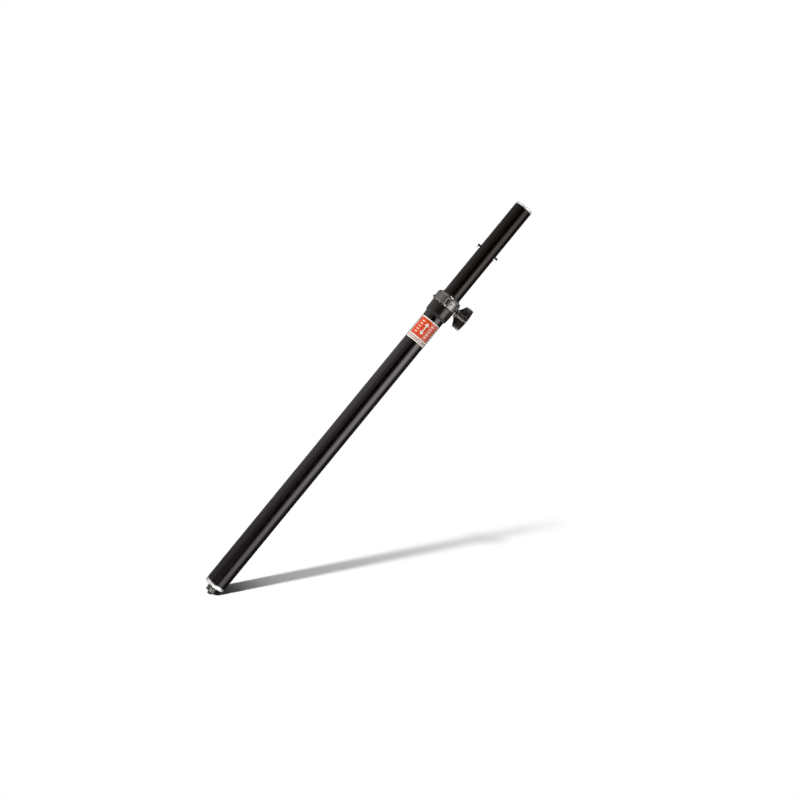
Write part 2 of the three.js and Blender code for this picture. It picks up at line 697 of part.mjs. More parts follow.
// The skirt slides in the lower tube, and the upper tube turns in the skirt
function glideSkirt() {
  const bore = UPPER_RADIUS + SLIDE_GAP;
  const top = UPPER_FOOT + SKIRT_LENGTH;
  const outline = [
    [bore, UPPER_FOOT],
    [bore + LINER_WALL, UPPER_FOOT],
    [bore + LINER_WALL, top - SKIRT_LIP],
    [bore + LINER_WALL / 2, top],
    [bore, top],
  ];
  return turned(outline, HIDDEN_SIDES);
}

// Assembly

function piece(name, geometry, finish) {
  const mesh = new THREE.Mesh(geometry, new THREE.MeshStandardMaterial(FINISHES[finish]));
  mesh.name = name;
  return mesh;
}

function lowerSection() {
  return new THREE.Group().add(
    piece("lower_tube", lowerTube(), "black_steel"),
    piece("base_plug", basePlug(), "bright_aluminium"),
    piece("threaded_stud", threadedStud(), "dark_steel"),
    piece("stud_washer", studWasher(), "zinc_steel"),
    piece("stud_nut", studNut(), "zinc_steel"),
    piece("bottom_bumper", bottomBumper(), "rubber"),
    piece("tube_label", tubeLabel(), "printed_label"),
    piece("guide_liner", guideLiner(), "nylon"),
  );
}

function clampHead() {
  return new THREE.Group().add(
    piece("tube_sleeve", tubeSleeve(), "black_plastic"),
    piece("clamp_collar", clampCollar(), "cast_metal"),
    piece("collar_grub_screw", grubScrew(), "dark_steel"),
    piece("boss_insert", bossInsert(), "zinc_steel"),
    piece("pressure_pad", pressurePad(), "nylon"),
    piece("clamp_screw", clampScrew(), "zinc_steel"),
    piece("knob_washer", knobWasher(), "nylon"),
    piece("wing_knob", wingKnob(), "black_plastic"),
  );
}

function upperSection() {
  return new THREE.Group().add(
    piece("upper_tube", upperTube(), "black_steel"),
    piece("top_cap", topCap(), "bright_aluminium"),
    piece("rest_pin", restPin(), "chrome"),
    piece("glide_plug", glidePlug(), "nylon"),
    piece("glide_pin", glidePin(), "zinc_steel"),
    piece("glide_skirt", glideSkirt(), "nylon"),
  );
}

const speakerPole = new THREE.Group();
speakerPole.name = "speaker_pole";
speakerPole.add(lowerSection(), clampHead(), upperSection());

export default speakerPole;
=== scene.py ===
"""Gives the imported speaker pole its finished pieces, surfaces, light and camera.

Everything is in metres, in the CAD frame: +Z up the pole, +X towards the wing knob,
-Y towards the label, and the origin under the foot ring."""

import math

import bmesh
import bpy
from mathutils import Matrix, Vector


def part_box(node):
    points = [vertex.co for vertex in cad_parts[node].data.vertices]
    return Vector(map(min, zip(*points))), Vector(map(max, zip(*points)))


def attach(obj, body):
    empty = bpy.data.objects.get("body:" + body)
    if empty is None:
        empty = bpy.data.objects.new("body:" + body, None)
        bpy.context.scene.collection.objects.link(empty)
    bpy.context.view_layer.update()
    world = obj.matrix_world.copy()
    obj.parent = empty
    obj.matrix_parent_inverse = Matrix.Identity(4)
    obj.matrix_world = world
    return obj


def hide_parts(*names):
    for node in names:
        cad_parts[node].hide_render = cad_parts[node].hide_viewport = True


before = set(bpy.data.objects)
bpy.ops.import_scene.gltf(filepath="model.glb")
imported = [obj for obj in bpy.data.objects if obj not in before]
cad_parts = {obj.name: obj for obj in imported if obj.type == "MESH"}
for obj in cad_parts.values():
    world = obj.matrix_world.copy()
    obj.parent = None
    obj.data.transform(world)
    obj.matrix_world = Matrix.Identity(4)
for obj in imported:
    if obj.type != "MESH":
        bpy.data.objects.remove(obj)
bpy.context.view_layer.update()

bl_info = {
    "name": "Speaker Pole",
    "version": (1, 0, 0),
    "blender": (4, 5, 0),
    "location": "3D View > Sidebar > Speaker Pole",
    "description": "Builds the finished pieces of a telescopic speaker pole on its CAD frame",
    "category": "Object",
}

MM = 0.001
ROUND_STEPS = 4
FINE_STEPS = 6
TUBE_SIDES = 128
ROD_SIDES = 64

# Places that the CAD frame fixes
LOWER_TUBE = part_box("lower_tube")
UPPER_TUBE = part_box("upper_tube")
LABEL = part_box("tube_label")
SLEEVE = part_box("tube_sleeve")
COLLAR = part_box("clamp_collar")
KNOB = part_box("wing_knob")
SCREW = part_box("clamp_screw")
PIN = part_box("rest_pin")
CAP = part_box("top_cap")
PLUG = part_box("base_plug")
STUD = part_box("threaded_stud")
GLIDE_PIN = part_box("glide_pin")
CLAMP_HEIGHT, PIN_HEIGHT, GLIDE_PIN_HEIGHT = ((low.z + high.z) / 2 for low, high in (SCREW, PIN, GLIDE_PIN))
GLIDE_PIN_RADIUS = (GLIDE_PIN[1].z - GLIDE_PIN[0].z) / 2
LOWER_RADIUS = LOWER_TUBE[1].x
UPPER_RADIUS = UPPER_TUBE[1].x

# Where the finished pieces stand off the CAD boxes
HEM_RISE = 2.4 * MM
TUBE_RISE = 1.5 * MM
FOOT_RISE = 1.2 * MM
BOSS_RADIUS = 7.6 * MM
PIN_RADIUS = 3.7 * MM
WIPER_RADIUS = UPPER_RADIUS + 1.4 * MM
KNOB_TIP = (KNOB[1].z - KNOB[0].z) / 2 + 0.5 * MM
KNOB_CROWN = 2.3 * MM
KNOB_TIP_WIDTH = 14.8 * MM
SLIDE_GAP = 0.2 * MM


def length(name, about, millimetres):
    return bpy.props.FloatProperty(name=name, description=about, default=millimetres * MM, unit="LENGTH")


def turn(name, about, degrees):
    return bpy.props.FloatProperty(name=name, description=about, default=math.radians(degrees), subtype="ANGLE")


def colour(name, about, *rgb):
    return bpy.props.FloatVectorProperty(name=name, description=about, default=rgb, subtype="COLOR")


def strength(name, about, default):
    return bpy.props.FloatProperty(name=name, description=about, default=default)


class PoleSizes(bpy.types.PropertyGroup):
    """Sizes of the finished pieces that the CAD boxes don't give."""

    lower_wall: length("Lower wall", "Wall of the lower tube", 1.5)
    upper_wall: length("Upper wall", "Wall of the upper tube", 2)
    edge_round: length("Edge rounding", "Rounding of machined edges", 0.3)
    stud_pitch: length("Stud pitch", "Thread pitch of the foot stud", 2.5)
    stud_thread_depth: length("Stud thread depth", "Depth of the stud's thread", 1.35)
    screw_pitch: length("Screw pitch", "Thread pitch of the clamping screw", 1.25)
    screw_thread_depth: length("Screw thread depth", "Depth of the clamping screw's thread", 0.7)
    collar_recess: length("Panel recess", "Depth of the flat panel in the collar", 0.7)
    knob_thickness: length("Wing thickness", "Thickness of the knob's wings", 9)
    knob_tip_chamfer: length("Tip chamfer", "Chamfer at the wings' ends", 2)
    knob_grain: length("Knob mesh size", "Size of the knob's mesh cells", 0.4)
    grip_ribs: bpy.props.IntProperty(
        name="Grip ribs", description="Ribs on the end of each wing", default=5, min=1, max=12)
    grip_pitch: length("Rib pitch", "Distance from rib to rib", 2.3)
    grip_radius: length("Rib radius", "Half of a rib's width", 0.62)
    label_turn: turn("Label turn", "How far the label goes round the tube", 136)
    label_offset: turn("Label offset", "How far the label is turned towards the knob", 0)


class PoleColours(bpy.types.PropertyGroup):
    """Colours of the finishes."""

    tube: colour("Lower tube", "Powder coat of the lower tube", 0.0022, 0.0012, 0.0013)
    inner_tube: colour("Upper tube", "Coat of the upper tube", 0.0026, 0.0014, 0.0009)
    casting: colour("Collar", "Die cast metal of the collar", 0.16, 0.149, 0.138)
    plastic: colour("Sleeve", "Moulded plastic of the sleeve", 0.0045, 0.003, 0.0027)
    knob: colour("Knob", "Moulded plastic of the wing knob", 0.0165, 0.0145, 0.0135)
    nylon: colour("Nylon", "Guides, glides and washer", 0.012, 0.012, 0.0125)
    rubber: colour("Rubber", "Stop under the upper tube", 0.012, 0.012, 0.012)
    aluminium: colour("Aluminium", "Foot ring and cap", 0.86, 0.86, 0.85)
    chrome: colour("Chrome", "Cross pin", 0.55, 0.56, 0.57)
    zinc: colour("Zinc", "Hidden fasteners", 0.45, 0.46, 0.47)
    dark_steel: colour("Dark steel", "Foot stud and grub screw", 0.15, 0.142, 0.132)
    label_panel: colour("Label panel", "Printed panel", 0.8, 0.078, 0.02)
    label_paper: colour("Label paper", "Unprinted film", 0.9, 0.84, 0.76)
    label_ink: colour("Label ink", "Fine lines of the label", 0.34, 0.03, 0.02)


class StageSettings(bpy.types.PropertyGroup):
    """Floor, light and camera."""

    lens: bpy.props.FloatProperty(
        name="Lens", description="Focal length in millimetres", default=58.6, unit="CAMERA")
    place: bpy.props.FloatVectorProperty(
        name="Camera place", description="Where the camera stands", default=(0.0479, -2.4, 0.4823), unit="LENGTH")
    roll: turn("Roll", "How far the pole leans in the picture", 39.363)
    key: strength("Key lamp", "Strength of the lamp that throws the shadow", 3.3)
    fill: strength("Fill lamp", "Strength of the soft lamp on the knob's side", 2.4)
    ambient: strength("Room light", "Even light of the room", 0.03)
    floor_pitch: turn("Floor pitch", "How far the camera looks down on the floor", 16)
    floor_rise: length("Floor rise", "How deep the stud's rim sits in the floor", 2)


# Node trees

class Tree:
    """Adds nodes to one tree and joins them."""

    def __init__(self, tree):
        self.tree = tree

    def add(self, kind, inputs=None, **settings):
        node = self.tree.nodes.new(kind)
        for key, value in settings.items():
            setattr(node, key, value)
        for key, value in (inputs or {}).items():
            self.feed(node.inputs[key], value)
        return node

    def made(self, kind, inputs=None, **settings):
        """The first output of a new node."""
        return self.add(kind, inputs, **settings).outputs[0]

    def feed(self, socket, value):
        if isinstance(value, bpy.types.NodeSocket):
            self.tree.links.new(value, socket)
        elif value is not None:
            socket.default_value = value

    def math(self, operation, *values, clamp=False):
        return self.made("ShaderNodeMath", dict(enumerate(values)), operation=operation, use_clamp=clamp)

    def plus(self, first, second):
        return self.math("ADD", first, second)

    def minus(self, first, second):
        return self.math("SUBTRACT", first, second)

    def times(self, value, *others, clamp=False):
        for other in others:
            value = self.math("MULTIPLY", value, other, clamp=clamp)
        return value

    def over(self, first, second):
        return self.math("DIVIDE", first, second)

    def less(self, first, second):
        """1 where the first value is the smaller one, else 0."""
        return self.math("LESS_THAN", first, second)

    def gap(self, first, second):
        """How far two values lie apart."""
        return self.math("ABSOLUTE", self.minus(first, second))

    def within(self, value, low, high):
        """1 where the value lies between low and high, else 0."""
        return self.times(self.math("GREATER_THAN", value, low), self.less(value, high))

    def ranged(self, value, low, high, start=0.0, end=1.0, smooth=True):
        """The value's place from low to high, as a value from start to end."""
        kind = "SMOOTHSTEP" if smooth else "LINEAR"
        return self.made("ShaderNodeMapRange", {0: value, 1: low, 2: high, 3: start, 4: end}, interpolation_type=kind)

    def blend(self, share, first, second):
        """A value between two values."""
        return self.made("ShaderNodeMix", {0: share, 2: first, 3: second})

    def mix(self, share, first, second):
        """A colour between two colours."""
        node = self.add("ShaderNodeMix", data_type="RGBA")
        self.feed(node.inputs[0], share)
        for socket, value in ((node.inputs[6], first), (node.inputs[7], second)):
            self.feed(socket, (*value, 1) if isinstance(value, tuple) and len(value) == 3 else value)
        return node.outputs[2]

    def vector(self, x=0.0, y=0.0, z=0.0):
        return self.made("ShaderNodeCombineXYZ", {0: x, 1: y, 2: z})

    def axes(self, vector):
        return self.add("ShaderNodeSeparateXYZ", {0: vector}).outputs

    def compared(self, operation, first, second, output=0):
        return self.add("ShaderNodeVectorMath", {0: first, 1: second}, operation=operation).outputs[output]

    def place(self):
        return self.add("ShaderNodeTexCoord").outputs["Object"]

    def noise(self, vector, scale, detail=3.0, roughness=0.55):
        inputs = {"Vector": vector, "Scale": scale, "Detail": detail, "Roughness": roughness}
        return self.made("ShaderNodeTexNoise", inputs)

    def ramp(self, value, stops):
        """Value stops over 0 to 1, as (place, height) with heights from 0 to 1."""
        node = self.add("ShaderNodeValToRGB", {0: value})
        elements = node.color_ramp.elements
        while len(elements) > 1:
            elements.remove(elements[-1])
        for index, (place, height) in enumerate(stops):
            element = elements[0] if index == 0 else elements.new(place)
            element.position = place
            element.color = (height, height, height, 1)
        return node.outputs[0]

    def group(self, name, **values):
        """The outputs of a shared shader group, with this material's own values."""
        tree = bpy.data.node_groups.get(name) or SHADER_GROUPS[name]()
        node = self.add("ShaderNodeGroup", node_tree=tree)
        for label, value in values.items():
            node.inputs[label.replace("_", " ").title()].default_value = value
        return node.outputs

    def bump(self, shader, amount, distance, height):
        relief = self.made("ShaderNodeBump", {"Strength": amount, "Distance": distance, "Height": height})
        self.feed(shader.inputs["Normal"], relief)


def shader_group(name, inputs, outputs):
    """An empty shader group with float inputs, and its input and output sockets."""
    tree = bpy.data.node_groups.new(name, "ShaderNodeTree")
    for label, default in inputs:
        socket = tree.interface.new_socket(label, in_out="INPUT", socket_type="NodeSocketFloat")
        socket.default_value = default
    for label in outputs:
        tree.interface.new_socket(label, in_out="OUTPUT", socket_type="NodeSocketFloat")
    nodes = Tree(tree)
    return nodes, nodes.add("NodeGroupInput").outputs, nodes.add("NodeGroupOutput").inputs


def grain_group():
    """Fine grain of a coat, casting or moulding, and slow blotches across it."""
    nodes, given, out = shader_group(
        "moulded_grain", [("Scale", 900), ("Stretch", 1), ("Blotch Scale", 60)], ["Height", "Blotches"])
    drawn = nodes.compared("MULTIPLY", nodes.place(), nodes.vector(1, 1, given[1]))
    nodes.feed(out[0], nodes.noise(drawn, given[0], 4.0, 0.6))
    nodes.feed(out[1], nodes.ranged(nodes.noise(drawn, given[2], 3.0, 0.5), 0.3, 0.7))
    return nodes.tree


def wear_and_highlight_group():
    """Where handling has rubbed the edges, from the wear that each piece carries; on some pieces that wear also
    carries painted highlights.
    """
    nodes, given, out = shader_group("edge_wear", [("Amount", 0.5), ("Scale", 220)], ["Mask"])
    worn = nodes.add("ShaderNodeAttribute", attribute_name="wear").outputs["Fac"]
    broken = nodes.noise(nodes.place(), given[1], 5.0, 0.65)
    patchy = nodes.times(worn, nodes.ranged(broken, 0.38, 0.68))
    nodes.feed(out[0], nodes.times(patchy, given[0], clamp=True))
    return nodes.tree


def hairline_group():
    """Hairlines that run along or round a piece."""
    nodes, given, out = shader_group("hairlines", [("Across", 900), ("Along", 12), ("Share", 0.4)], ["Mask"])
    drawn = nodes.compared("MULTIPLY", nodes.place(), nodes.vector(given[0], given[0], given[1]))
    lines = nodes.noise(drawn, 1.0, 2.0, 0.5)
    nodes.feed(out[0], nodes.ranged(lines, nodes.minus(1.0, given[2]), 1.0))
    return nodes.tree


def dust_group():
    """Dust that lies on surfaces that face up the pole, thicker in patches."""
    nodes, given, out = shader_group("settled_dust", [("Amount", 0.2), ("Scale", 140)], ["Mask"])
    coordinates = nodes.add("ShaderNodeTexCoord").outputs
    facing = nodes.axes(coordinates["Normal"])[2]
    patches = nodes.noise(coordinates["Object"], given[1], 4.0, 0.6)
    lying = nodes.times(nodes.ranged(facing, 0.2, 0.95, 0.15, 1.0), nodes.ranged(patches, 0.35, 0.7))
    nodes.feed(out[0], nodes.times(lying, given[0], clamp=True))
    return nodes.tree


SHADER_GROUPS = {
    "moulded_grain": grain_group,
    "edge_wear": wear_and_highlight_group,
    "hairlines": hairline_group,
    "settled_dust": dust_group,
}


def empty_nodes(owner):
    """The cleared tree of a material or world."""
    owner.use_nodes = True
    owner.node_tree.nodes.clear()
    return Tree(owner.node_tree)


def new_material(name):
    """A material with its tree and its shader."""
    material = bpy.data.materials.new(name)
    nodes = empty_nodes(material)
    shader = nodes.add("ShaderNodeBsdfPrincipled")
    nodes.add("ShaderNodeOutputMaterial", {0: shader.outputs[0]})
    return material, nodes, shader


def shaded(tone, share):
    return tuple(part * share for part in tone)


DUST = (0.32, 0.31, 0.29)
WARM_SHINE = (1, 0.88, 0.86)

# Each finish: shader values, then grain, blotch, wear, hairline and dust values
FINISHES = {
    "powder_coat": dict(
        colour="tube", worn=(0.05, 0.048, 0.045), rough=0.17, spread=0.03, shine=(1, 0.87, 0.88),
        grain=1500, bump=0.05, blotch=85, tint=0.5, wear=0.45, lines=(700, 9, 0.3), line_lift=0.015, dust=0.006),
    "sliding_coat": dict(
        colour="inner_tube", worn=(0.06, 0.058, 0.055), rough=0.18, spread=0.03, level=0.27, shine=(1, 0.84, 0.8),
        grain=1700, bump=0.04, blotch=70, tint=0.4, wear=0.5, lines=(1100, 5, 0.34), line_lift=0.02, dust=0.004),
    # The collar's worn colour is also its painted highlight down the side towards the knob
    "die_cast": dict(
        colour="casting", worn=(0.55, 0.52, 0.49), rough=0.23, spread=0.05, metallic=0.8,
        grain=1300, bump=0.25, blotch=420, tint=0.13, wear=1.7, lines=(900, 60, 0.28), line_lift=0.03, dust=0.02),
    "moulded_plastic": dict(
        colour="plastic", worn=(0.09, 0.087, 0.084), rough=0.22, spread=0.04, level=0.45, shine=WARM_SHINE,
        grain=2100, bump=0.14, blotch=120, tint=0.35, wear=0.6, lines=(800, 200, 0.26), line_lift=0.02, dust=0.006),
    # The knob's worn colour is also the painted highlight on its seams, its tips' edges and its grip ribs
    "knob_plastic": dict(
        colour="knob", worn=(0.4, 0.388, 0.37), rough=0.24, spread=0.04, level=0.45, shine=WARM_SHINE,
        grain=1900, bump=0.14, blotch=120, tint=0.3, wear=0.26, lines=(800, 200, 0.26), line_lift=0.02, dust=0.006),
    "nylon_guide": dict(
        colour="nylon", worn=(0.04, 0.04, 0.04), rough=0.48, spread=0.08, level=0.35,
        grain=1800, bump=0.1, blotch=100, tint=0.3, wear=0.5, lines=(900, 12, 0.3), line_lift=0.03, dust=0.008),
    "moulded_rubber": dict(
        colour="rubber", worn=(0.05, 0.05, 0.05), rough=0.8, spread=0.1, level=0.3,
        grain=1400, bump=0.25, blotch=130, tint=0.4, wear=0.6, lines=(600, 300, 0.2), line_lift=0.03, dust=0.12),
    "zinc_plate": dict(
        colour="zinc", worn=(0.7, 0.7, 0.68), rough=0.36, spread=0.12, metallic=1.0,
        grain=1600, bump=0.12, blotch=300, tint=0.25, wear=0.5, lines=(500, 500, 0.3), line_lift=0.08, dust=0.02),
    # The steel's worn colour is also the painted highlight down the front of the foot stud's thread
    "oiled_steel": dict(
        colour="dark_steel", worn=(0.85, 0.84, 0.8), rough=0.22, spread=0.08, metallic=1.0,
        grain=1300, bump=0.15, blotch=260, tint=0.45, wear=0.9, lines=(500, 700, 0.3), line_lift=0.1, dust=0.0),
}


def coat(name):
    """A grained, slightly worn and dusty surface with the values of one finish."""
    if name in bpy.data.materials:
        return bpy.data.materials[name]
    values = FINISHES[name]
    tone = tuple(getattr(bpy.context.scene.pole_colours, values["colour"]))
    tint, line_lift = values["tint"], values["line_lift"]
    material, nodes, shader = new_material(name)
    grain = nodes.group("moulded_grain", scale=values["grain"], blotch_scale=values["blotch"])
    worn = nodes.group("edge_wear", amount=values["wear"])[0]
    across, along, share = values["lines"]
    lines = nodes.group("hairlines", across=across, along=along, share=share)[0]
    dust = nodes.group("settled_dust", amount=values["dust"])[0]
    mottled = nodes.mix(grain["Blotches"], shaded(tone, 1 - tint), shaded(tone, 1 + tint))
    lined = nodes.mix(nodes.times(lines, line_lift * 4), mottled, values["worn"])
    rubbed_bare = nodes.mix(worn, lined, values["worn"])
    nodes.feed(shader.inputs["Base Color"], nodes.mix(dust, rubbed_bare, DUST))
    low, high = values["rough"] - values["spread"], values["rough"] + values["spread"]
    uneven = nodes.ranged(grain["Blotches"], 0.0, 1.0, low, high, smooth=False)
    scuffed = nodes.plus(uneven, nodes.times(lines, line_lift))
    nodes.feed(shader.inputs["Roughness"], nodes.plus(scuffed, nodes.times(dust, 0.4)))
    nodes.bump(shader, values["bump"], 0.15 * MM, nodes.minus(grain["Height"], nodes.times(lines, 0.3)))
    shader.inputs["Metallic"].default_value = values.get("metallic", 0.0)
    shader.inputs["Specular IOR Level"].default_value = values.get("level", 0.5)
    shader.inputs["Specular Tint"].default_value = (*values.get("shine", (1, 1, 1)), 1)
    return material


def turned_metal(name, metal, rough, axis, ring_scale, lift, metallic=1.0, painted_shade_above=None, floor_edge=None):
    """Bright metal with the fine rings that a lathe leaves."""
    if name in bpy.data.materials:
        return bpy.data.materials[name]
    bright = tuple(getattr(bpy.context.scene.pole_colours, metal))
    material, nodes, shader = new_material(name)
    parts = nodes.axes(nodes.place())
    flat = [nodes.math("POWER", parts[index], 2.0) for index in range(3) if index != axis]
    out = nodes.math("SQRT", nodes.plus(*flat))
    tool_path = nodes.plus(nodes.times(parts[axis], ring_scale), nodes.times(out, ring_scale))
    rings = nodes.noise(nodes.vector(tool_path), 1.0, 3.0, 0.6)
    grain = nodes.group("moulded_grain", scale=1200, blotch_scale=140)
    worn = nodes.group("edge_wear", amount=0.35)[0]
    base = nodes.mix(grain["Blotches"], shaded(bright, 0.86), bright)
    tone = nodes.mix(worn, base, tuple(min(1, part * 1.08) for part in bright))
    if painted_shade_above is not None:
        # Painted shade: from a little below this height upwards, the piece is darkened nearly to black
        painted_top_shade = nodes.ranged(parts[2], painted_shade_above - 1.1 * MM, painted_shade_above - 0.3 * MM, 0.0, 0.97)
        tone = nodes.mix(painted_top_shade, tone, (0.02, 0.02, 0.021))
    if floor_edge is not None:
        # Painted shade: below this height the piece darkens towards its lowest edge, nearly to black
        painted_foot_shade = nodes.ranged(parts[2], 0.4 * floor_edge, floor_edge, 0.92, 0.0)
        tone = nodes.mix(painted_foot_shade, tone, (0.05, 0.048, 0.044))
    nodes.feed(shader.inputs["Base Color"], tone)
    smudged = nodes.ranged(grain["Blotches"], 0.0, 1.0, rough, rough + 0.09, smooth=False)
    nodes.feed(shader.inputs["Roughness"], nodes.plus(smudged, nodes.times(nodes.ranged(rings, 0.3, 0.7), 0.06)))
    nodes.bump(shader, lift, 0.05 * MM, rings)
    shader.inputs["Metallic"].default_value = metallic
    return material


def printed_film():
    """The label: a bordered panel with a height arrow and tick marks, over a narrow strip of fine marks."""
    colours = bpy.context.scene.pole_colours
    panel_tone, paper, ink = (tuple(getattr(colours, name)) for name in ("label_panel", "label_paper", "label_ink"))
    half_width, motif_at, arrow_half, head, tick_pitch = 0.452, 0.58, 0.27, 0.13, 0.06
    material, nodes, shader = new_material("printed_film")
    parts = nodes.axes(nodes.made("ShaderNodeUVMap", uv_map="film"))
    across, up = parts[0], parts[1]
    off_middle = nodes.gap(across, 0.5)
    framed_at = nodes.less(off_middle, half_width)
    panel = nodes.times(framed_at, nodes.within(up, 0.212, 0.95))
    filled = nodes.times(nodes.less(off_middle, half_width - 0.018), nodes.within(up, 0.227, 0.935))
    off_centre = nodes.gap(up, motif_at)
    from_tip = nodes.minus(arrow_half, off_centre)
    head_shape = nodes.less(off_middle, nodes.times(from_tip, 0.75))
    arrow = nodes.blend(nodes.less(from_tip, head), nodes.less(off_middle, 0.026), head_shape)
    near_tick = nodes.less(nodes.math("PINGPONG", nodes.minus(up, motif_at), tick_pitch), 0.019)
    tick_span = nodes.times(nodes.within(off_middle, 0.17, 0.28), nodes.less(off_centre, 0.262))
    motif = nodes.math("MAXIMUM", arrow, nodes.times(near_tick, tick_span))
    dots = nodes.times(nodes.less(nodes.math("FRACT", nodes.times(across, 34.0)), 0.5), nodes.within(up, 0.045, 0.086))
    marks = nodes.times(nodes.math("MAXIMUM", nodes.within(up, 0.12, 0.148), dots), framed_at)
    grain = nodes.group("moulded_grain", scale=1500, blotch_scale=110)
    worn = nodes.group("edge_wear", amount=0.4, scale=260)[0]
    uneven = nodes.mix(grain["Blotches"], shaded(panel_tone, 0.86), panel_tone)
    printed = nodes.mix(filled, nodes.mix(panel, paper, ink), uneven)
    drawn = nodes.mix(nodes.times(motif, panel), printed, paper)
    nodes.feed(shader.inputs["Base Color"], nodes.mix(worn, nodes.mix(marks, drawn, ink), (0.42, 0.4, 0.37)))
    nodes.feed(shader.inputs["Roughness"], nodes.ranged(grain["Blotches"], 0.0, 1.0, 0.2, 0.28, smooth=False))
    nodes.bump(shader, 0.05, 0.1 * MM, grain["Height"])
    shader.inputs["Specular IOR Level"].default_value = 0.5
    return material


# Meshes

def meshed(work, name):
    """The mesh of a finished bmesh, with its faces outward."""
    bmesh.ops.recalc_face_normals(work, faces=work.faces)
    mesh = bpy.data.meshes.new(name)
    work.to_mesh(mesh)
    work.free()
    return mesh


def rounded(outline, steps):
    """Rounds the corners of a closed outline of (radius, height, rounding), and gives (radius, height, wear)."""
    rows = []
    for index, (radius, height, rounding) in enumerate(outline):
        corner = Vector((radius, height))
        if rounding == 0:
            rows.append((radius, height, 0.0))
            continue
        back = Vector(outline[index - 1][:2]) - corner
        ahead = Vector(outline[(index + 1) % len(outline)][:2]) - corner
        reach = min(rounding, 0.4 * back.length, 0.4 * ahead.length)
        back.normalize()
        ahead.normalize()
        rows.append((*(corner + back * reach * 1.25), 0.0))
        for step in range(steps + 1):
            share = step / steps
            point = corner + back * reach * (1 - share) ** 2 + ahead * reach * share ** 2
            rows.append((*point, 0.35 + 0.65 * math.sin(math.pi * share)))
        rows.append((*(corner + ahead * reach * 1.25), 0.0))
    return rows


def turned(rows, sides=TUBE_SIDES, angles=None, form=None):
    """A closed mesh from rows of (radius, height, wear) turned round +Z. Rows on the axis close it."""
    angles = angles or [2 * math.pi * side / sides for side in range(sides)]
    work = bmesh.new()
    wear = work.verts.layers.float.new("wear")
    rings = []
    for radius, height, worn in rows:
        if radius < 1e-7:
            tip = work.verts.new((0, 0, height))
            tip[wear] = worn
            rings.append([tip] * len(angles))
            continue
        ring = []
        for angle in angles:
            out, share = form(radius, height, angle) if form else (radius, 0)
            vertex = work.verts.new((out * math.cos(angle), out * math.sin(angle), height))
            vertex[wear] = max(worn, share)
            ring.append(vertex)
        rings.append(ring)
    on_axis = rows[0][0] < 1e-7 and rows[-1][0] < 1e-7
    pairs = list(zip(rings, rings[1:])) + ([] if on_axis else [(rings[-1], rings[0])])
    for lower, upper in pairs:
        for side in range(len(angles)):
            after = (side + 1) % len(angles)
            corners = list(dict.fromkeys((lower[side], lower[after], upper[after], upper[side])))
            if len(corners) > 2:
                work.faces.new(corners)
    return meshed(work, "turned")


def beside(radius, height, *offsets, unit=MM):
    """Points set off from one place in millimetres: (outwards, upwards, rounding), or wear with a unit of 1."""
    return [(radius + out * MM, height + up * MM, last * unit) for out, up, last in offsets]


def hexagon(flat, angle):
    """How far out a hexagon's side lies at an angle, from the distance to the middle of its sides."""
    return flat / math.cos((angle % (math.pi / 3)) - math.pi / 6)


def lathe(outline, sides=TUBE_SIDES, steps=ROUND_STEPS, form=None):
    """A turned piece with rounded corners, from (radius, height, rounding)."""
    return turned(rounded(outline, steps), sides, form=form)


def band(inner, outer, low, high, *roundings):
    """A plain ring, with the roundings of its corners from the inner foot to the inner top."""
    corners = ((inner, low), (outer, low), (outer, high), (inner, high))
    return lathe([(*corner, rounding) for corner, rounding in zip(corners, roundings)], ROD_SIDES)


def rod(radius, low, high, sides=ROD_SIDES):
    return turned([(0, low, 0), (radius, low, 0), (radius, high, 0), (0, high, 0)], sides)


def laid(mesh, height, axis, way=1):
    """Lays a mesh that was turned round +Z on its side at a height of the pole."""
    mesh.transform(Matrix.Translation((0, 0, height)) @ Matrix.Rotation(way * math.pi / 2, 4, axis))
    return mesh


def along_x(mesh, way=1):
    """Lays a mesh that was turned round +Z along +X or -X, at the clamp's height."""
    return laid(mesh, CLAMP_HEIGHT, "Y", way)


def cross_hole(radius, past_wall, height, axis):
    """A rod through the whole pole that cuts the room for a pin."""
    reach = UPPER_RADIUS + past_wall * MM
    return laid(rod(radius + SLIDE_GAP, -reach, reach), height, axis)


def room_for(name, reach, start=0.0, way=1, gap=SLIDE_GAP):
    """A rod at the clamp's height that cuts the hole for one small round piece."""
    low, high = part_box(name)
    return along_x(rod((high.z - low.z) / 2 + gap, start, reach), way)


def loose(data):
    """A mesh, lamp or camera as an object of the scene."""
    thing = bpy.data.objects.new(data.name, data)
    bpy.context.scene.collection.objects.link(thing)
    return thing


def worked(thing, helpers=()):
    """The thing's mesh with its modifiers applied. The thing and its helpers are removed."""
    graph = bpy.context.evaluated_depsgraph_get()
    mesh = bpy.data.meshes.new_from_object(thing.evaluated_get(graph))
    for used in (thing, *helpers):
        bpy.data.objects.remove(used)
    return mesh


def combine(thing, meshes, operation):
    """Adds Boolean steps to an object, and gives their helper objects."""
    helpers = [loose(mesh) for mesh in meshes]
    for helper in helpers:
        step = thing.modifiers.new("combine", "BOOLEAN")
        step.operation, step.solver, step.object = operation, "EXACT", helper
    return helpers


def combined(mesh, others, operation="DIFFERENCE"):
    whole = loose(mesh)
    return worked(whole, combine(whole, others, operation))


def rubbed(mesh):
    """Gives a mesh wear where it curves outwards."""
    work = bmesh.new()
    work.from_mesh(mesh)
    wear = work.verts.layers.float.new("wear")
    for vertex in work.verts:
        nearby = [edge.other_vert(vertex).co for edge in vertex.link_edges]
        middle = sum(nearby, Vector()) / len(nearby)
        spacing = (nearby[0] - vertex.co).length
        vertex[wear] = max(0.0, min(1.0, 7 * (vertex.co - middle).dot(vertex.normal) / spacing - 0.35))
    work.to_mesh(mesh)
    work.free()
    return mesh


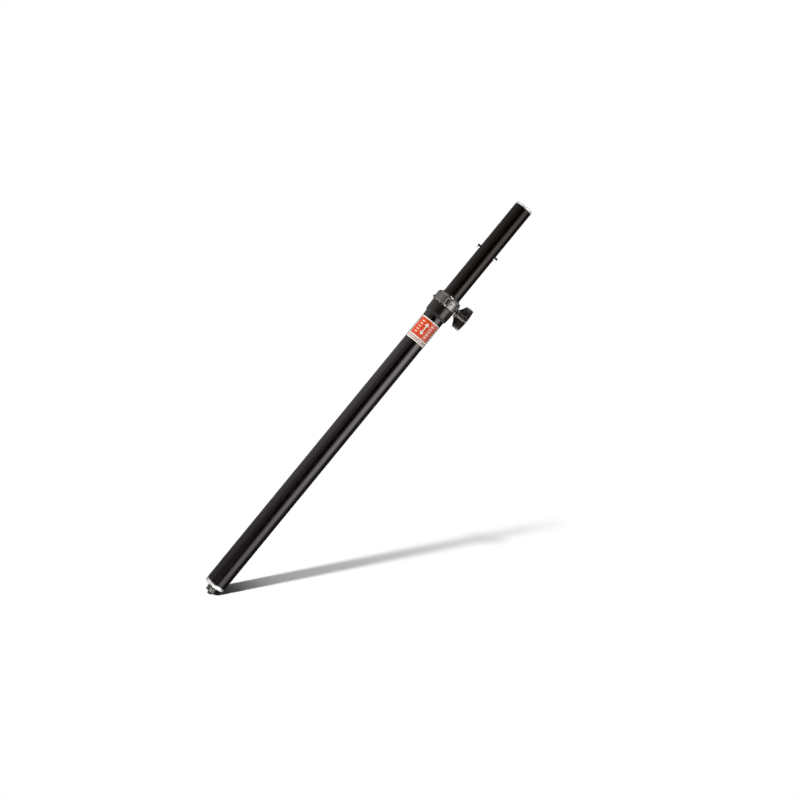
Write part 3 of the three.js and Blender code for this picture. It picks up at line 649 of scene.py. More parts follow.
def prism(corners, way):
    """A closed mesh: a flat outline drawn out along a way."""
    work = bmesh.new()
    base = work.faces.new([work.verts.new(corner) for corner in corners])
    raised = bmesh.ops.extrude_face_region(work, geom=[base])
    lifted = [part for part in raised["geom"] if isinstance(part, bmesh.types.BMVert)]
    bmesh.ops.translate(work, verts=lifted, vec=way)
    return meshed(work, "prism")


def bezier(start, control, end, count):
    return [start * (1 - t) ** 2 + control * 2 * t * (1 - t) + end * t * t
            for t in (index / count for index in range(count))]


def smooth_step(low, high, value):
    share = max(0.0, min(1.0, (value - low) / (high - low)))
    return share * share * (3 - 2 * share)


def spread(first, second, step):
    """Values from first to second that are no more than one step apart, without the second."""
    count = max(1, math.ceil(abs(second - first) / step - 1e-6))
    return [first + (second - first) * index / count for index in range(count)]


def put(name, mesh, material, body, node=None, sharp=35):
    """Places a finished piece on its CAD body, in place of the node that it stands for."""
    mesh.name = name
    mesh.shade_smooth()
    mesh.set_sharp_from_angle(angle=math.radians(sharp))
    mesh.materials.clear()
    mesh.materials.append(material)
    piece = loose(mesh)
    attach(piece, body)
    if node:
        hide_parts(node)


# Geometry node trees

def geometry_group(name, **inputs):
    """An empty geometry group with inputs of given kinds, the input sockets, and its output socket."""
    tree = bpy.data.node_groups.new(name, "GeometryNodeTree")
    for label, default in inputs.items():
        kind = {int: "NodeSocketInt", float: "NodeSocketFloat"}.get(type(default), "NodeSocketMaterial")
        socket = tree.interface.new_socket(label.replace("_", " ").title(), in_out="INPUT", socket_type=kind)
        if default is not None:
            socket.default_value = default
    tree.interface.new_socket("Geometry", in_out="OUTPUT", socket_type="NodeSocketGeometry")
    nodes = Tree(tree)
    return nodes, nodes.add("NodeGroupInput").outputs, nodes.add("NodeGroupOutput").inputs[0]


def joined(nodes, parts):
    join = nodes.add("GeometryNodeJoinGeometry")
    for part in parts:
        nodes.tree.links.new(part, join.inputs[0])
    return join.outputs[0]


def worn_points(nodes, geometry, value):
    inputs = {0: geometry, "Name": "wear", "Value": value}
    return nodes.made("GeometryNodeStoreNamedAttribute", inputs, data_type="FLOAT", domain="POINT")


def thread_group():
    """A screw thread: a grid of rings whose radius follows a right-hand helix, closed at both ends."""
    nodes, given, out = geometry_group(
        "screw_thread", radius=10 * MM, depth=MM, pitch=2 * MM, foot=0.0, threaded=20 * MM, top=30 * MM,
        chamfer=MM, sides=64, rings=60, material=None, front_wear=0.0)
    radius, depth, pitch, foot, threaded, top, chamfer, sides, rings, material, front_wear = list(given)[:11]
    columns = nodes.plus(sides, 1.0)
    grid = nodes.made("GeometryNodeMeshGrid", {0: 1.0, 1: 1.0, 2: columns, 3: rings})
    parts = nodes.axes(nodes.made("GeometryNodeInputPosition"))
    turned_by, climb = nodes.plus(parts[0], 0.5), nodes.plus(parts[1], 0.5)
    height = nodes.times(climb, threaded)
    phase = nodes.math("FRACT", nodes.plus(nodes.minus(nodes.over(height, pitch), turned_by), 64.0))
    off_crest = nodes.gap(nodes.times(phase, 2.0), 1.0)
    run_out = nodes.ranged(climb, nodes.minus(1.0, nodes.over(pitch, threaded)), 0.995)
    plain = nodes.times(depth, 0.5)
    sunk = nodes.blend(run_out, nodes.times(nodes.ranged(off_crest, 0.14, 0.84), depth), plain)
    foot_radius = nodes.minus(radius, chamfer)
    reach = nodes.math("MINIMUM", nodes.minus(radius, sunk), nodes.plus(foot_radius, height))
    angle = nodes.times(turned_by, 2 * math.pi)
    last = nodes.math("GREATER_THAN", climb, 0.9999)
    total = nodes.blend(last, height, nodes.minus(top, foot))
    place = nodes.vector(
        nodes.times(reach, nodes.math("COSINE", angle)), nodes.times(reach, nodes.math("SINE", angle)),
        nodes.plus(total, foot))
    crest_wear = nodes.ranged(off_crest, 0.0, 0.3, 1.0, 0.0)
    # Painted highlight: a bright streak down the thread's front, on the label's side, carried as wear
    glint = nodes.ranged(nodes.gap(turned_by, 0.752), 0.03, 0.055, front_wear, 0.0)
    crest = worn_points(nodes, grid, nodes.math("MAXIMUM", crest_wear, glint))
    wound = nodes.made("GeometryNodeSetPosition", {0: crest, 2: place})
    ends = []
    for end_radius, end_height in ((foot_radius, foot), (nodes.minus(radius, plain), top)):
        disc = nodes.made("GeometryNodeMeshCircle", {0: sides, 1: end_radius}, fill_type="TRIANGLE_FAN")
        ends.append(nodes.made("GeometryNodeTransform", {0: disc, "Translation": nodes.vector(z=end_height)}))
    closed = nodes.made("GeometryNodeMergeByDistance", {0: joined(nodes, (*ends, wound)), "Distance": 2e-6})
    real = nodes.made("GeometryNodeRealizeInstances", {0: closed})
    nodes.feed(out, nodes.made("GeometryNodeSetMaterial", {0: real, "Material": material}))
    return nodes.tree


def rib_group():
    """Ribs that run over the ends of both wings, set out at one pitch."""
    nodes, given, out = geometry_group(
        "grip_ribs", count=5, pitch=2 * MM, rib_radius=0.5 * MM, wing_thickness=9 * MM, wrap=3 * MM,
        corner=2.6 * MM, middle=40 * MM, clamp_height=0.6, span=44 * MM, material=None)
    count, pitch, rib_radius, thickness, wrap, corner, middle, clamp_height, span, material = list(given)[:10]
    loop = nodes.made("GeometryNodeCurvePrimitiveQuadrilateral", {0: thickness, 1: nodes.times(wrap, 2.0)})
    soft = nodes.made("GeometryNodeFilletCurve", {0: loop, "Radius": corner, "Count": 6}, mode="POLY")
    profile = nodes.made("GeometryNodeCurvePrimitiveCircle", {"Resolution": 12, "Radius": rib_radius})
    rib = nodes.made("GeometryNodeCurveToMesh", {0: soft, 1: profile})
    upright = nodes.made("GeometryNodeTransform", {0: rib, "Rotation": (math.pi / 2, 0.0, math.pi / 2)})
    reach = nodes.minus(nodes.over(span, 2.0), wrap)
    first = nodes.minus(middle, nodes.times(pitch, nodes.over(nodes.minus(count, 1.0), 2.0)))
    ends = []
    for way in (-1.0, 1.0):
        start = nodes.vector(first, 0.0, nodes.plus(clamp_height, nodes.times(reach, way)))
        line = {"Count": count, "Start Location": start, "Offset": nodes.vector(pitch)}
        row = nodes.made("GeometryNodeMeshLine", line)
        ends.append(nodes.made("GeometryNodeInstanceOnPoints", {0: row, "Instance": upright}))
    # Painted highlight: the ribs carry wear, so they show some of the knob's light worn colour as light dots
    real = worn_points(nodes, nodes.made("GeometryNodeRealizeInstances", {0: joined(nodes, ends)}), 0.8)
    nodes.feed(out, nodes.made("GeometryNodeSetMaterial", {0: real, "Material": material}))
    return nodes.tree


GEOMETRY_GROUPS = {"screw_thread": thread_group, "grip_ribs": rib_group}


def grown(name, **values):
    """The plain mesh that a geometry tree makes from its named inputs."""
    tree = bpy.data.node_groups.get(name) or GEOMETRY_GROUPS[name]()
    seed = loose(bpy.data.meshes.new(name))
    step = seed.modifiers.new(name, "NODES")
    step.node_group = tree
    for socket in tree.interface.items_tree:
        key = socket.name.lower().replace(" ", "_")
        if socket.in_out == "INPUT" and key in values:
            step[socket.identifier] = values[key]
    mesh = worked(seed)
    work = bmesh.new()
    work.from_mesh(mesh)
    bmesh.ops.recalc_face_normals(work, faces=work.faces)
    work.to_mesh(mesh)
    work.free()
    return mesh


# Operators

class POLE_OT_lower_tube(bpy.types.Operator):
    """Make the coated lower tube with its holes for the clamp"""

    bl_idname = "speaker_pole.lower_tube"
    bl_label = "Lower Tube"

    def execute(self, context):
        sizes = context.scene.pole_sizes
        low, high = LOWER_TUBE[0].z + FOOT_RISE, LOWER_TUBE[1].z
        bore, edge = LOWER_RADIUS - sizes.lower_wall, sizes.edge_round
        near_hole = CLAMP_HEIGHT - 9 * MM
        wall = lathe([
            (bore, low, edge), (LOWER_RADIUS, low, edge), (LOWER_RADIUS, near_hole, 0),
            (LOWER_RADIUS, high, edge), (bore, high, edge), (bore, near_hole, 0),
        ])
        past_wall = LOWER_RADIUS + 5 * MM
        holes = [room_for("pressure_pad", past_wall), room_for("collar_grub_screw", past_wall, way=-1)]
        tube = combined(wall, holes)
        put("lower_tube_coated", tube, coat("powder_coat"), "lower_section", "lower_tube")
        return {"FINISHED"}


class POLE_OT_foot(bpy.types.Operator):
    """Make the bright foot ring with its plug, and the washer, nut and rubber stop above it"""

    bl_idname = "speaker_pole.foot"
    bl_label = "Foot"

    def execute(self, context):
        sizes = context.scene.pole_sizes
        edge, body, zinc = sizes.edge_round, "lower_section", coat("zinc_plate")
        ring_top, top = LOWER_TUBE[0].z + FOOT_RISE, PLUG[1].z
        bore = STUD[1].x + 0.33 * MM
        spigot = LOWER_RADIUS - sizes.lower_wall - SLIDE_GAP
        plug = lathe([
            (bore + 0.8 * MM, 0, edge), *beside(LOWER_RADIUS, 0, (-2.8, 0, 0.6), (-0.5, 1.6, 1.8)),
            *beside(LOWER_RADIUS, ring_top, (-0.05, -1.6, 0.9), (-0.35, -0.5, 0.3), (-0.35, 0, 0.1)),
            (spigot, ring_top, 0.2 * MM), (spigot, top - 0.8 * MM, edge), (spigot - 0.8 * MM, top, edge),
            (bore, top, edge), (bore, 0.8 * MM, edge),
        ])
        bright = turned_metal("turned_aluminium", "aluminium", 0.24, 2, 9000, 0.25, floor_edge=1.9 * MM)
        put("base_plug_turned", plug, bright, body, "base_plug")

        low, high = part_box("stud_washer")
        washer = band(bore, high.x, low.z, high.z, edge, edge, edge, edge)
        put("stud_washer_plated", washer, zinc, body, "stud_washer")

        low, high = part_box("stud_nut")
        corner, flat = high.x, high.x * math.cos(math.pi / 6)
        chamfer = (corner - flat) * 0.6

        def six_sided(radius, height, angle):
            return radius if radius < bore + MM else min(radius, hexagon(flat, angle)), 0

        nut = lathe([
            (bore, low.z, edge), (flat, low.z, 0.1 * MM), (corner, low.z + chamfer, 0.1 * MM),
            (corner, high.z - chamfer, 0.1 * MM), (flat, high.z, 0.1 * MM), (bore, high.z, edge),
        ], 144, form=six_sided)
        put("stud_nut_plated", nut, zinc, body, "stud_nut")

        low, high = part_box("bottom_bumper")
        seat, groove_at = STUD[1].z + 0.3 * MM, (low.z + high.z) / 2
        bumper = lathe([
            (0, seat, 0), (bore, seat, edge), (bore, low.z, edge), (high.x, low.z, edge),
            *beside(high.x, groove_at, (0, -0.6, 0.2), (-0.6, 0, 0.3), (0, 0.6, 0.2)),
            (high.x, high.z, MM), (0, high.z, 0),
        ], ROD_SIDES)
        put("bottom_bumper_moulded", bumper, coat("moulded_rubber"), body, "bottom_bumper")
        return {"FINISHED"}


class POLE_OT_threaded_stud(bpy.types.Operator):
    """Make the foot stud with its cut thread"""

    bl_idname = "speaker_pole.threaded_stud"
    bl_label = "Threaded Stud"

    def execute(self, context):
        sizes = context.scene.pole_sizes
        material = coat("oiled_steel")
        mesh = grown(
            "screw_thread", radius=10 * MM, depth=sizes.stud_thread_depth, pitch=sizes.stud_pitch,
            foot=STUD[0].z, threaded=6 * sizes.stud_pitch, top=STUD[1].z, chamfer=1.5 * MM,
            sides=96, rings=97, front_wear=0.9, material=material)
        put("threaded_stud_cut", mesh, material, "lower_section", "threaded_stud", 60)
        return {"FINISHED"}


class POLE_OT_label(bpy.types.Operator):
    """Make the printed film round the lower tube"""

    bl_idname = "speaker_pole.label"
    bl_label = "Label"

    def execute(self, context):
        sizes = context.scene.pole_sizes
        middle = sizes.label_offset - math.pi / 2
        columns, levels = 96, 24
        foot, top = LABEL[0].z + 1.9 * MM, LABEL[1].z + 0.6 * MM
        work = bmesh.new()
        wear = work.verts.layers.float.new("wear")
        film = work.loops.layers.uv.new("film")
        sheets = {}
        for skin, radius in enumerate((LOWER_RADIUS + 0.1 * MM, LOWER_RADIUS + 0.3 * MM)):
            for column in range(columns + 1):
                for level in range(levels + 1):
                    across, up = column / columns, level / levels
                    angle = middle + (across - 0.5) * sizes.label_turn
                    height = foot + (top - foot) * up
                    vertex = work.verts.new((radius * math.cos(angle), radius * math.sin(angle), height))
                    vertex[wear] = 0.0 if 0 < column < columns and 0 < level < levels else 1.0
                    sheets[skin, column, level] = (vertex, (across, up))

        def face(*keys):
            made = work.faces.new([sheets[key][0] for key in keys])
            for loop, key in zip(made.loops, keys):
                loop[film].uv = sheets[key][1]

        for column in range(columns):
            for level in range(levels):
                corners = ((column, level), (column + 1, level), (column + 1, level + 1), (column, level + 1))
                face(*((1, *corner) for corner in corners))
                face(*((0, *corner) for corner in reversed(corners)))
        for column in range(columns):
            for level, first, second in ((0, 0, 1), (levels, 1, 0)):
                face((first, column, level), (first, column + 1, level),
                     (second, column + 1, level), (second, column, level))
        for level in range(levels):
            for column, first, second in ((0, 1, 0), (columns, 0, 1)):
                face((first, column, level), (first, column, level + 1),
                     (second, column, level + 1), (second, column, level))
        put("tube_label_printed", meshed(work, "label"), printed_film(), "lower_section", "tube_label")
        return {"FINISHED"}


class POLE_OT_liner(bpy.types.Operator):
    """Make the nylon liner between the tubes, and the lip that wipes the upper tube"""

    bl_idname = "speaker_pole.liner"
    bl_label = "Guide Liner"

    def execute(self, context):
        low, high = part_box("guide_liner")
        bore, edge = UPPER_RADIUS + SLIDE_GAP, 0.15 * MM
        outer = bore + 0.6 * MM
        flange_foot, near_hole = LOWER_TUBE[1].z + 0.1 * MM, CLAMP_HEIGHT - 9 * MM
        wiper_top = COLLAR[1].z + 2.2 * MM
        liner = lathe([
            (bore + 0.3 * MM, low.z, edge), (outer, low.z, edge), (outer, near_hole, 0), (outer, flange_foot, 0),
            (high.x, flange_foot, edge), (high.x, high.z, edge), (WIPER_RADIUS, high.z, 0),
            *beside(WIPER_RADIUS, wiper_top, (0, -0.9, 0.3), (-0.6, 0, 0.3)),
            (bore, wiper_top, edge), (bore, near_hole, 0), (bore, low.z + MM, edge),
        ])
        liner = combined(liner, [room_for("pressure_pad", LOWER_RADIUS)])
        put("guide_liner_moulded", liner, coat("nylon_guide"), "lower_section", "guide_liner")
        return {"FINISHED"}


class POLE_OT_sleeve(bpy.types.Operator):
    """Make the plastic sleeve under the collar"""

    bl_idname = "speaker_pole.sleeve"
    bl_label = "Tube Sleeve"

    def execute(self, context):
        low, high = SLEEVE[0].z + 1.8 * MM, SLEEVE[1].z + HEM_RISE
        bore, waist, top = LOWER_RADIUS + SLIDE_GAP, 22.6 * MM, SLEEVE[1].x
        sleeve = lathe([
            *beside(bore, low, (0, 0, 0.1), (0.4, 0, 0.15)),
            *beside(waist, low, (0, 3.6, 0.4), (0.05, 4.3, 0.2), (-0.1, 4.7, 0.2), (0.12, 5.1, 0.2)),
            *beside(top, high, (0, -0.8, 0.4), (-0.8, 0, 0.3)), (bore, high, 0.2 * MM),
        ])
        put("tube_sleeve_moulded", sleeve, coat("moulded_plastic"), "lower_section", "tube_sleeve")
        return {"FINISHED"}


class POLE_OT_collar(bpy.types.Operator):
    """Make the cast collar with its boss, panel and dimple, and the fasteners in it"""

    bl_idname = "speaker_pole.collar"
    bl_label = "Clamp Collar"

    def execute(self, context):
        self.casting(context)
        self.fasteners()
        return {"FINISHED"}

    def casting(self, context):
        foot, top = COLLAR[0].z + HEM_RISE, COLLAR[1].z - 0.7 * MM
        hem, body = 25.4 * MM, 25.05 * MM
        bore, mouth, lip = LOWER_RADIUS + SLIDE_GAP, WIPER_RADIUS + 0.1 * MM, COLLAR[1].z - 2.5 * MM
        crown_depth, crown_rise, crown_steps = 3.2 * MM, 6.5 * MM, 14
        shoulder = top - crown_rise
        rows = [
            *beside(bore, foot, (0, 0, 0), (0.3, 0, 0), unit=1),
            *beside(hem, foot, (-0.8, 0, 0.6), (-0.4, 0.1, 1), (-0.12, 0.34, 1), (0, 0.75, 1), (0, 1.1, 1),
                    (-0.1, 1.35, 0.9), unit=1),
            (body, foot + 1.7 * MM, 0.2),
            *((body, height, 0.0) for height in spread(foot + 2 * MM, shoulder, 0.34 * MM)),
        ]
        for step in range(crown_steps + 1):
            angle = math.pi / 2 * step / crown_steps
            inwards, upwards = crown_depth * (1 - math.cos(angle)), crown_rise * math.sin(angle)
            rows.append((body - inwards, shoulder + upwards, 0.9 * smooth_step(0.35, 0.9, step / crown_steps)))
        rows += [
            (body - 3.7 * MM, top, 0.4),
            *beside(mouth, top, (1.3, 0, 0.3), (1, 0, 0.7), (0.8, -0.1, 0.7), (0.15, -0.9, 0.1), (0, -1.2, 0), unit=1),
            (mouth, lip + 0.1 * MM, 0.0), (mouth, lip, 0.0), (bore, lip, 0.0),
        ]
        outer_rows = {round(height * 1e7) for radius, height, worn in rows if radius > bore + MM}
        flat = body - context.scene.pole_sizes.collar_recess
        panel_at = COLLAR[0].z + 11.7 * MM
        boss_face = COLLAR[1].x

        def cast(radius, height, angle):
            """The radius of the casting with its panel, dimple and boss, the wear that they add, and a painted
            highlight down the side towards the knob.
            """
            if radius < bore + 1.6 * MM or round(height * 1e7) not in outer_rows:
                return radius, 0
            side, front, share = radius * math.cos(angle), -radius * math.sin(angle), 0
            if front > 0:
                off_panel = abs(height - panel_at)
                inside = min(3.1 * MM - abs(side - 1.2 * MM), 6.2 * MM - off_panel)
                sunk = flat / -math.sin(angle)
                if sunk < radius:
                    radius -= smooth_step(-0.25 * MM, 0.25 * MM, inside) * (radius - sunk)
                share = max(share, 1 - abs(inside + 0.35 * MM) / (0.6 * MM))
                if off_panel < 7 * MM:
                    share = max(share, 1 - abs(side + 3.7 * MM) / (0.8 * MM))
                off_dimple = math.hypot(side - 9.6 * MM, height - panel_at)
                radius -= 1.1 * MM * max(0, 1 - (off_dimple / (1.6 * MM)) ** 2)
            # Painted highlight: a light band down the side towards the knob, carried as wear
            share = max(share, 0.9 * smooth_step(0.85, 0.9, side / radius))
            if side > 0.8 * radius:
                off_boss = math.hypot(radius * math.sin(angle), height - CLAMP_HEIGHT)
                mask = smooth_step(BOSS_RADIUS + 0.35 * MM, BOSS_RADIUS - 0.35 * MM, off_boss)
                radius += mask * max(0, boss_face / math.cos(angle) - radius)
                share = max(share, 1 - abs(off_boss - BOSS_RADIUS + 0.35 * MM) / (0.5 * MM))
            return radius, max(0, share)

        angles = []
        for first, last, step in ((-22, 22, 0.8), (22, 256, 3), (256, 303, 0.75), (303, 338, 2.5)):
            angles += spread(*map(math.radians, (first, last, step)))
        casting = turned(rows, angles=angles, form=cast)
        boss = along_x(rod(BOSS_RADIUS - 0.1 * MM, bore + 2 * MM, boss_face - 0.03 * MM))
        far_below = COLLAR[0].z - 20 * MM
        under = rod(60 * MM, far_below, COLLAR[0].z)
        sleeve_room = rod(SLEEVE[1].x + 0.1 * MM, far_below, foot, TUBE_SIDES)
        casting = combined(casting, [combined(boss, [under, sleeve_room])], "UNION")
        past_body = body + 5 * MM
        insert_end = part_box("boss_insert")[0].x - 0.2 * MM
        casting = combined(casting, [
            room_for("pressure_pad", past_body),
            room_for("boss_insert", past_body, insert_end, gap=0.1 * MM),
            room_for("collar_grub_screw", past_body, way=-1),
        ])
        put("clamp_collar_cast", casting, coat("die_cast"), "lower_section", "clamp_collar", 40)

    def fasteners(self):
        low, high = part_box("boss_insert")
        insert = band(4.2 * MM, 5.4 * MM, low.x, high.x, 0.2 * MM, 0.2 * MM, 0.25 * MM, 0.4 * MM)
        put("boss_insert_plated", along_x(insert), coat("zinc_plate"), "lower_section", "boss_insert")

        low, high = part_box("collar_grub_screw")
        near, far, radius, socket = -high.x, -low.x, (high.z - low.z) / 2, 1.15 * MM

        def six_sided(out, height, angle):
            return out if out > socket * 1.2 else hexagon(out, angle), 0

        screw = lathe([
            (0, near, 0), (radius, near, 0.4 * MM), (radius, far, 0.35 * MM),
            (socket, far, 0.12 * MM), (socket, far - 1.6 * MM, 0.1 * MM), (0, far - 1.75 * MM, 0),
        ], 72, form=six_sided)
        put("grub_screw_oiled", along_x(screw, -1), coat("oiled_steel"), "lower_section",
            "collar_grub_screw")


class POLE_OT_clamp_screw(bpy.types.Operator):
    """Make the clamping screw with its thread, its washer and its pressure pad"""

    bl_idname = "speaker_pole.clamp_screw"
    bl_label = "Clamp Screw"

    def execute(self, context):
        sizes = context.scene.pole_sizes
        zinc, nylon = coat("zinc_plate"), coat("nylon_guide")
        shoulder = SCREW[0].x + 2 * MM
        shank = along_x(grown(
            "screw_thread", radius=4 * MM, depth=sizes.screw_thread_depth, pitch=sizes.screw_pitch,
            foot=shoulder, threaded=8 * sizes.screw_pitch, top=SCREW[1].x, chamfer=0.9 * MM,
            sides=64, rings=97, material=zinc))
        tip_radius, tip_end = 2.6 * MM, shoulder + 0.5 * MM
        tip = lathe([
            (0, SCREW[0].x, 0), (tip_radius, SCREW[0].x, 0.3 * MM), (tip_radius, tip_end, 0), (0, tip_end, 0),
        ], ROD_SIDES)
        screw = combined(shank, [along_x(tip)], "UNION")
        put("clamp_screw_plated", screw, zinc, "knob", "clamp_screw", 60)

        low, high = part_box("knob_washer")
        washer = band(4.2 * MM, high.y, low.x, high.x, 0.15 * MM, 0.2 * MM, 0.2 * MM, 0.15 * MM)
        put("knob_washer_nylon", along_x(washer), nylon, "knob", "knob_washer")

        low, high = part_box("pressure_pad")
        socket, face = 2.8 * MM, UPPER_RADIUS + 0.3 * MM
        pad = lathe([
            (0, low.x, 0), (high.y, low.x, 0), (high.y, high.x, 0.3 * MM),
            (socket, high.x, 0.2 * MM), (socket, face + MM, 0.1 * MM), (0, face + MM, 0),
        ], ROD_SIDES)
        saddle = rod(face, CLAMP_HEIGHT - 9 * MM, CLAMP_HEIGHT + 9 * MM, TUBE_SIDES)
        pad = combined(along_x(pad), [saddle])
        put("pressure_pad_nylon", pad, nylon, "clamp_pad", "pressure_pad")
        return {"FINISHED"}


class POLE_OT_wing_knob(bpy.types.Operator):
    """Make the wing knob as one soft moulding, and the grip ribs on its ends"""

    bl_idname = "speaker_pole.wing_knob"
    bl_label = "Wing Knob"

    def execute(self, context):
        sizes = context.scene.pole_sizes
        plastic = coat("knob_plastic")
        put("wing_knob_moulded", self.moulding(sizes), plastic, "knob", "wing_knob", 60)
        ribs = grown(
            "grip_ribs", count=sizes.grip_ribs, pitch=sizes.grip_pitch, rib_radius=sizes.grip_radius,
            wing_thickness=sizes.knob_thickness - 0.5 * MM, wrap=3.4 * MM, corner=sizes.knob_tip_chamfer,
            middle=KNOB[1].x - KNOB_CROWN - KNOB_TIP_WIDTH / 2, clamp_height=CLAMP_HEIGHT,
            span=2 * KNOB_TIP - 0.5 * MM, material=plastic)
        put("knob_grip_ribs", ribs, plastic, "knob")
        return {"FINISHED"}

    def outline(self):
        """The wings' outline in the plane of the screw and the pole: outwards, and up from the screw."""
        face, neck, swell = KNOB[0].x, 8.5 * MM, 0.2 * MM
        outer = KNOB[1].x - KNOB_CROWN
        inner = outer - KNOB_TIP_WIDTH
        curl = Vector((face + (inner - face) * 0.8, neck + (KNOB_TIP - neck) * 0.6))
        foot, low_inner, low_outer = Vector((face, -neck)), Vector((inner, -KNOB_TIP)), Vector((outer, -KNOB_TIP))
        high_outer, high_inner, head = Vector((outer, KNOB_TIP)), Vector((inner, KNOB_TIP)), Vector((face, neck))
        points = []
        for start, control, end, count in (
            (foot, Vector((curl.x, -curl.y)), low_inner, 16),
            (low_inner, Vector(((inner + outer) / 2, -KNOB_TIP - swell)), low_outer, 6),
            (low_outer, Vector((KNOB[1].x + KNOB_CROWN, 0)), high_outer, 24),
            (high_outer, Vector(((inner + outer) / 2, KNOB_TIP + swell)), high_inner, 6),
            (high_inner, curl, head, 16),
        ):
            points += bezier(start, control, end, count)
        return [*points, head]

    def plate(self, sizes, half):
        """The flat wings, with the edges of their tips cut off."""
        work = bmesh.new()
        work.from_mesh(prism([(point.x, -half, point.y + CLAMP_HEIGHT) for point in self.outline()], (0, 2 * half, 0)))
        for way in (-1, 1):
            for front in (-1, 1):
                whole = work.verts[:] + work.edges[:] + work.faces[:]
                edge = Vector((0, front * half, CLAMP_HEIGHT + way * (KNOB_TIP - sizes.knob_tip_chamfer)))
                bmesh.ops.bisect_plane(work, geom=whole, plane_co=edge, plane_no=(0, front, way), clear_outer=True)
                bmesh.ops.holes_fill(work, edges=[part for part in work.edges if part.is_boundary])
        return meshed(work, "plate")

    def moulding(self, sizes):
        half = sizes.knob_thickness / 2
        face, end, front = KNOB[0].x, KNOB[1].x - 0.8 * MM, KNOB[1].y - 0.4 * MM
        skirt, cup, hub = COLLAR[1].x - 0.6 * MM, BOSS_RADIUS + 0.3 * MM, 9 * MM
        neck = lathe([
            (0, face, 0), (cup, face, 0), (cup, skirt, 0.1 * MM), (hub, skirt, 0.3 * MM),
            (hub, face + 2 * MM, 0.6 * MM), (4.5 * MM, face + 7 * MM, 0), (0, face + 7 * MM, 0),
        ], ROD_SIDES)
        wide, narrow = (5 * MM, front - 1.3 * MM), (4.2 * MM, front)
        corners = []
        for way, side in ((1, 1), (-1, 1), (-1, -1), (1, -1)):
            pair = (wide, narrow) if way == side else (narrow, wide)
            corners += [(x * way, y * side, face) for x, y in pair]
        rib = prism(corners, (0, 0, end - face))
        seam_at = 2.6 * MM
        raised, cut = [along_x(neck), along_x(rib)], []
        for way in (-1, 1):
            ridge = along_x(rod(1.1 * MM, face + MM, end - 0.6 * MM))
            ridge.transform(Matrix.Translation((0, way * (KNOB[1].y - MM), way * seam_at)))
            raised.append(ridge)
            groove = along_x(rod(0.75 * MM, face + 2 * MM, KNOB[1].x))
            groove.transform(Matrix.Translation((0, way * (KNOB[1].y - 0.2 * MM), way * 0.5 * MM)))
            cut.append(groove)
        knob = loose(self.plate(sizes, half))
        helpers = combine(knob, raised, "UNION") + combine(knob, cut, "DIFFERENCE")
        cells = knob.modifiers.new("cells", "REMESH")
        cells.mode, cells.voxel_size = "VOXEL", sizes.knob_grain
        soften = knob.modifiers.new("soften", "SMOOTH")
        soften.factor, soften.iterations = 0.5, 4
        mesh = rubbed(worked(knob, helpers))
        # Painted highlights: the seams and the edges of the wings' tips get full wear, so they show as light lines;
        # the hub keeps little of its wear
        wear = mesh.attributes["wear"].data
        for vertex in mesh.vertices:
            outward, up = abs(vertex.co.y), vertex.co.z - CLAMP_HEIGHT
            off_seam = abs(up - math.copysign(seam_at, vertex.co.y))
            if outward > KNOB[1].y - 0.75 * MM and off_seam < 0.8 * MM:
                wear[vertex.index].value = 20.0
            elif outward > half and abs(up) < 7 * MM:
                wear[vertex.index].value *= 0.3
            elif abs(outward - half + 0.8 * MM) < 0.9 * MM and abs(abs(up) - KNOB_TIP + 0.9 * MM) < MM:
                wear[vertex.index].value = 12.0
        return mesh


class POLE_OT_upper_tube(bpy.types.Operator):
    """Make the coated upper tube with its cross holes"""

    bl_idname = "speaker_pole.upper_tube"
    bl_label = "Upper Tube"

    def execute(self, context):
        sizes = context.scene.pole_sizes
        low, high = UPPER_TUBE[0].z, UPPER_TUBE[1].z + TUBE_RISE
        bore, edge = UPPER_RADIUS - sizes.upper_wall, sizes.edge_round
        breaks = [GLIDE_PIN_HEIGHT + 6 * MM, PIN_HEIGHT - 7 * MM, PIN_HEIGHT + 7 * MM]
        wall = lathe([
            (bore, low, edge), (UPPER_RADIUS, low, edge),
            *((UPPER_RADIUS, height, 0) for height in breaks),
            (UPPER_RADIUS, high, edge), (bore, high, edge),
            *((bore, height, 0) for height in reversed(breaks)),
        ])
        pin_hole = cross_hole(PIN_RADIUS, 5, PIN_HEIGHT, "Y")
        tube = combined(wall, [pin_hole, cross_hole(GLIDE_PIN_RADIUS, 5, GLIDE_PIN_HEIGHT, "X")])
        put("upper_tube_coated", tube, coat("sliding_coat"), "upper_section", "upper_tube")
        return {"FINISHED"}


class POLE_OT_top_cap(bpy.types.Operator):
    """Make the bright cap at the top of the upper tube"""

    bl_idname = "speaker_pole.top_cap"
    bl_label = "Top Cap"

    def execute(self, context):
        sizes = context.scene.pole_sizes
        edge = sizes.edge_round
        seat, top, foot = UPPER_TUBE[1].z + TUBE_RISE, CAP[1].z, CAP[0].z
        spigot = UPPER_RADIUS - sizes.upper_wall - SLIDE_GAP
        cap = lathe([
            (0, seat, 0), (spigot - 3 * MM, seat, edge), (spigot - 3 * MM, foot, edge),
            (spigot, foot, 0.5 * MM), (spigot, seat, 0.1 * MM),
            *beside(UPPER_RADIUS, seat, (-0.2, 0, 0.3), (-0.1, 1, 0.3)),
            *beside(UPPER_RADIUS, top, (-0.3, -0.9, 0.7), (-1.3, -0.1, 0.5), (-2.8, 0, 0.6)),
            *beside(0, top, (3.2, 0, 0.1), (2.9, -0.12, 0.1), (0, -0.12, 0)),
        ], steps=FINE_STEPS)
        bright = turned_metal("satin_aluminium", "aluminium", 0.3, 2, 9000, 0.25, 0.4)
        put("top_cap_turned", cap, bright, "upper_section", "top_cap")
        return {"FINISHED"}


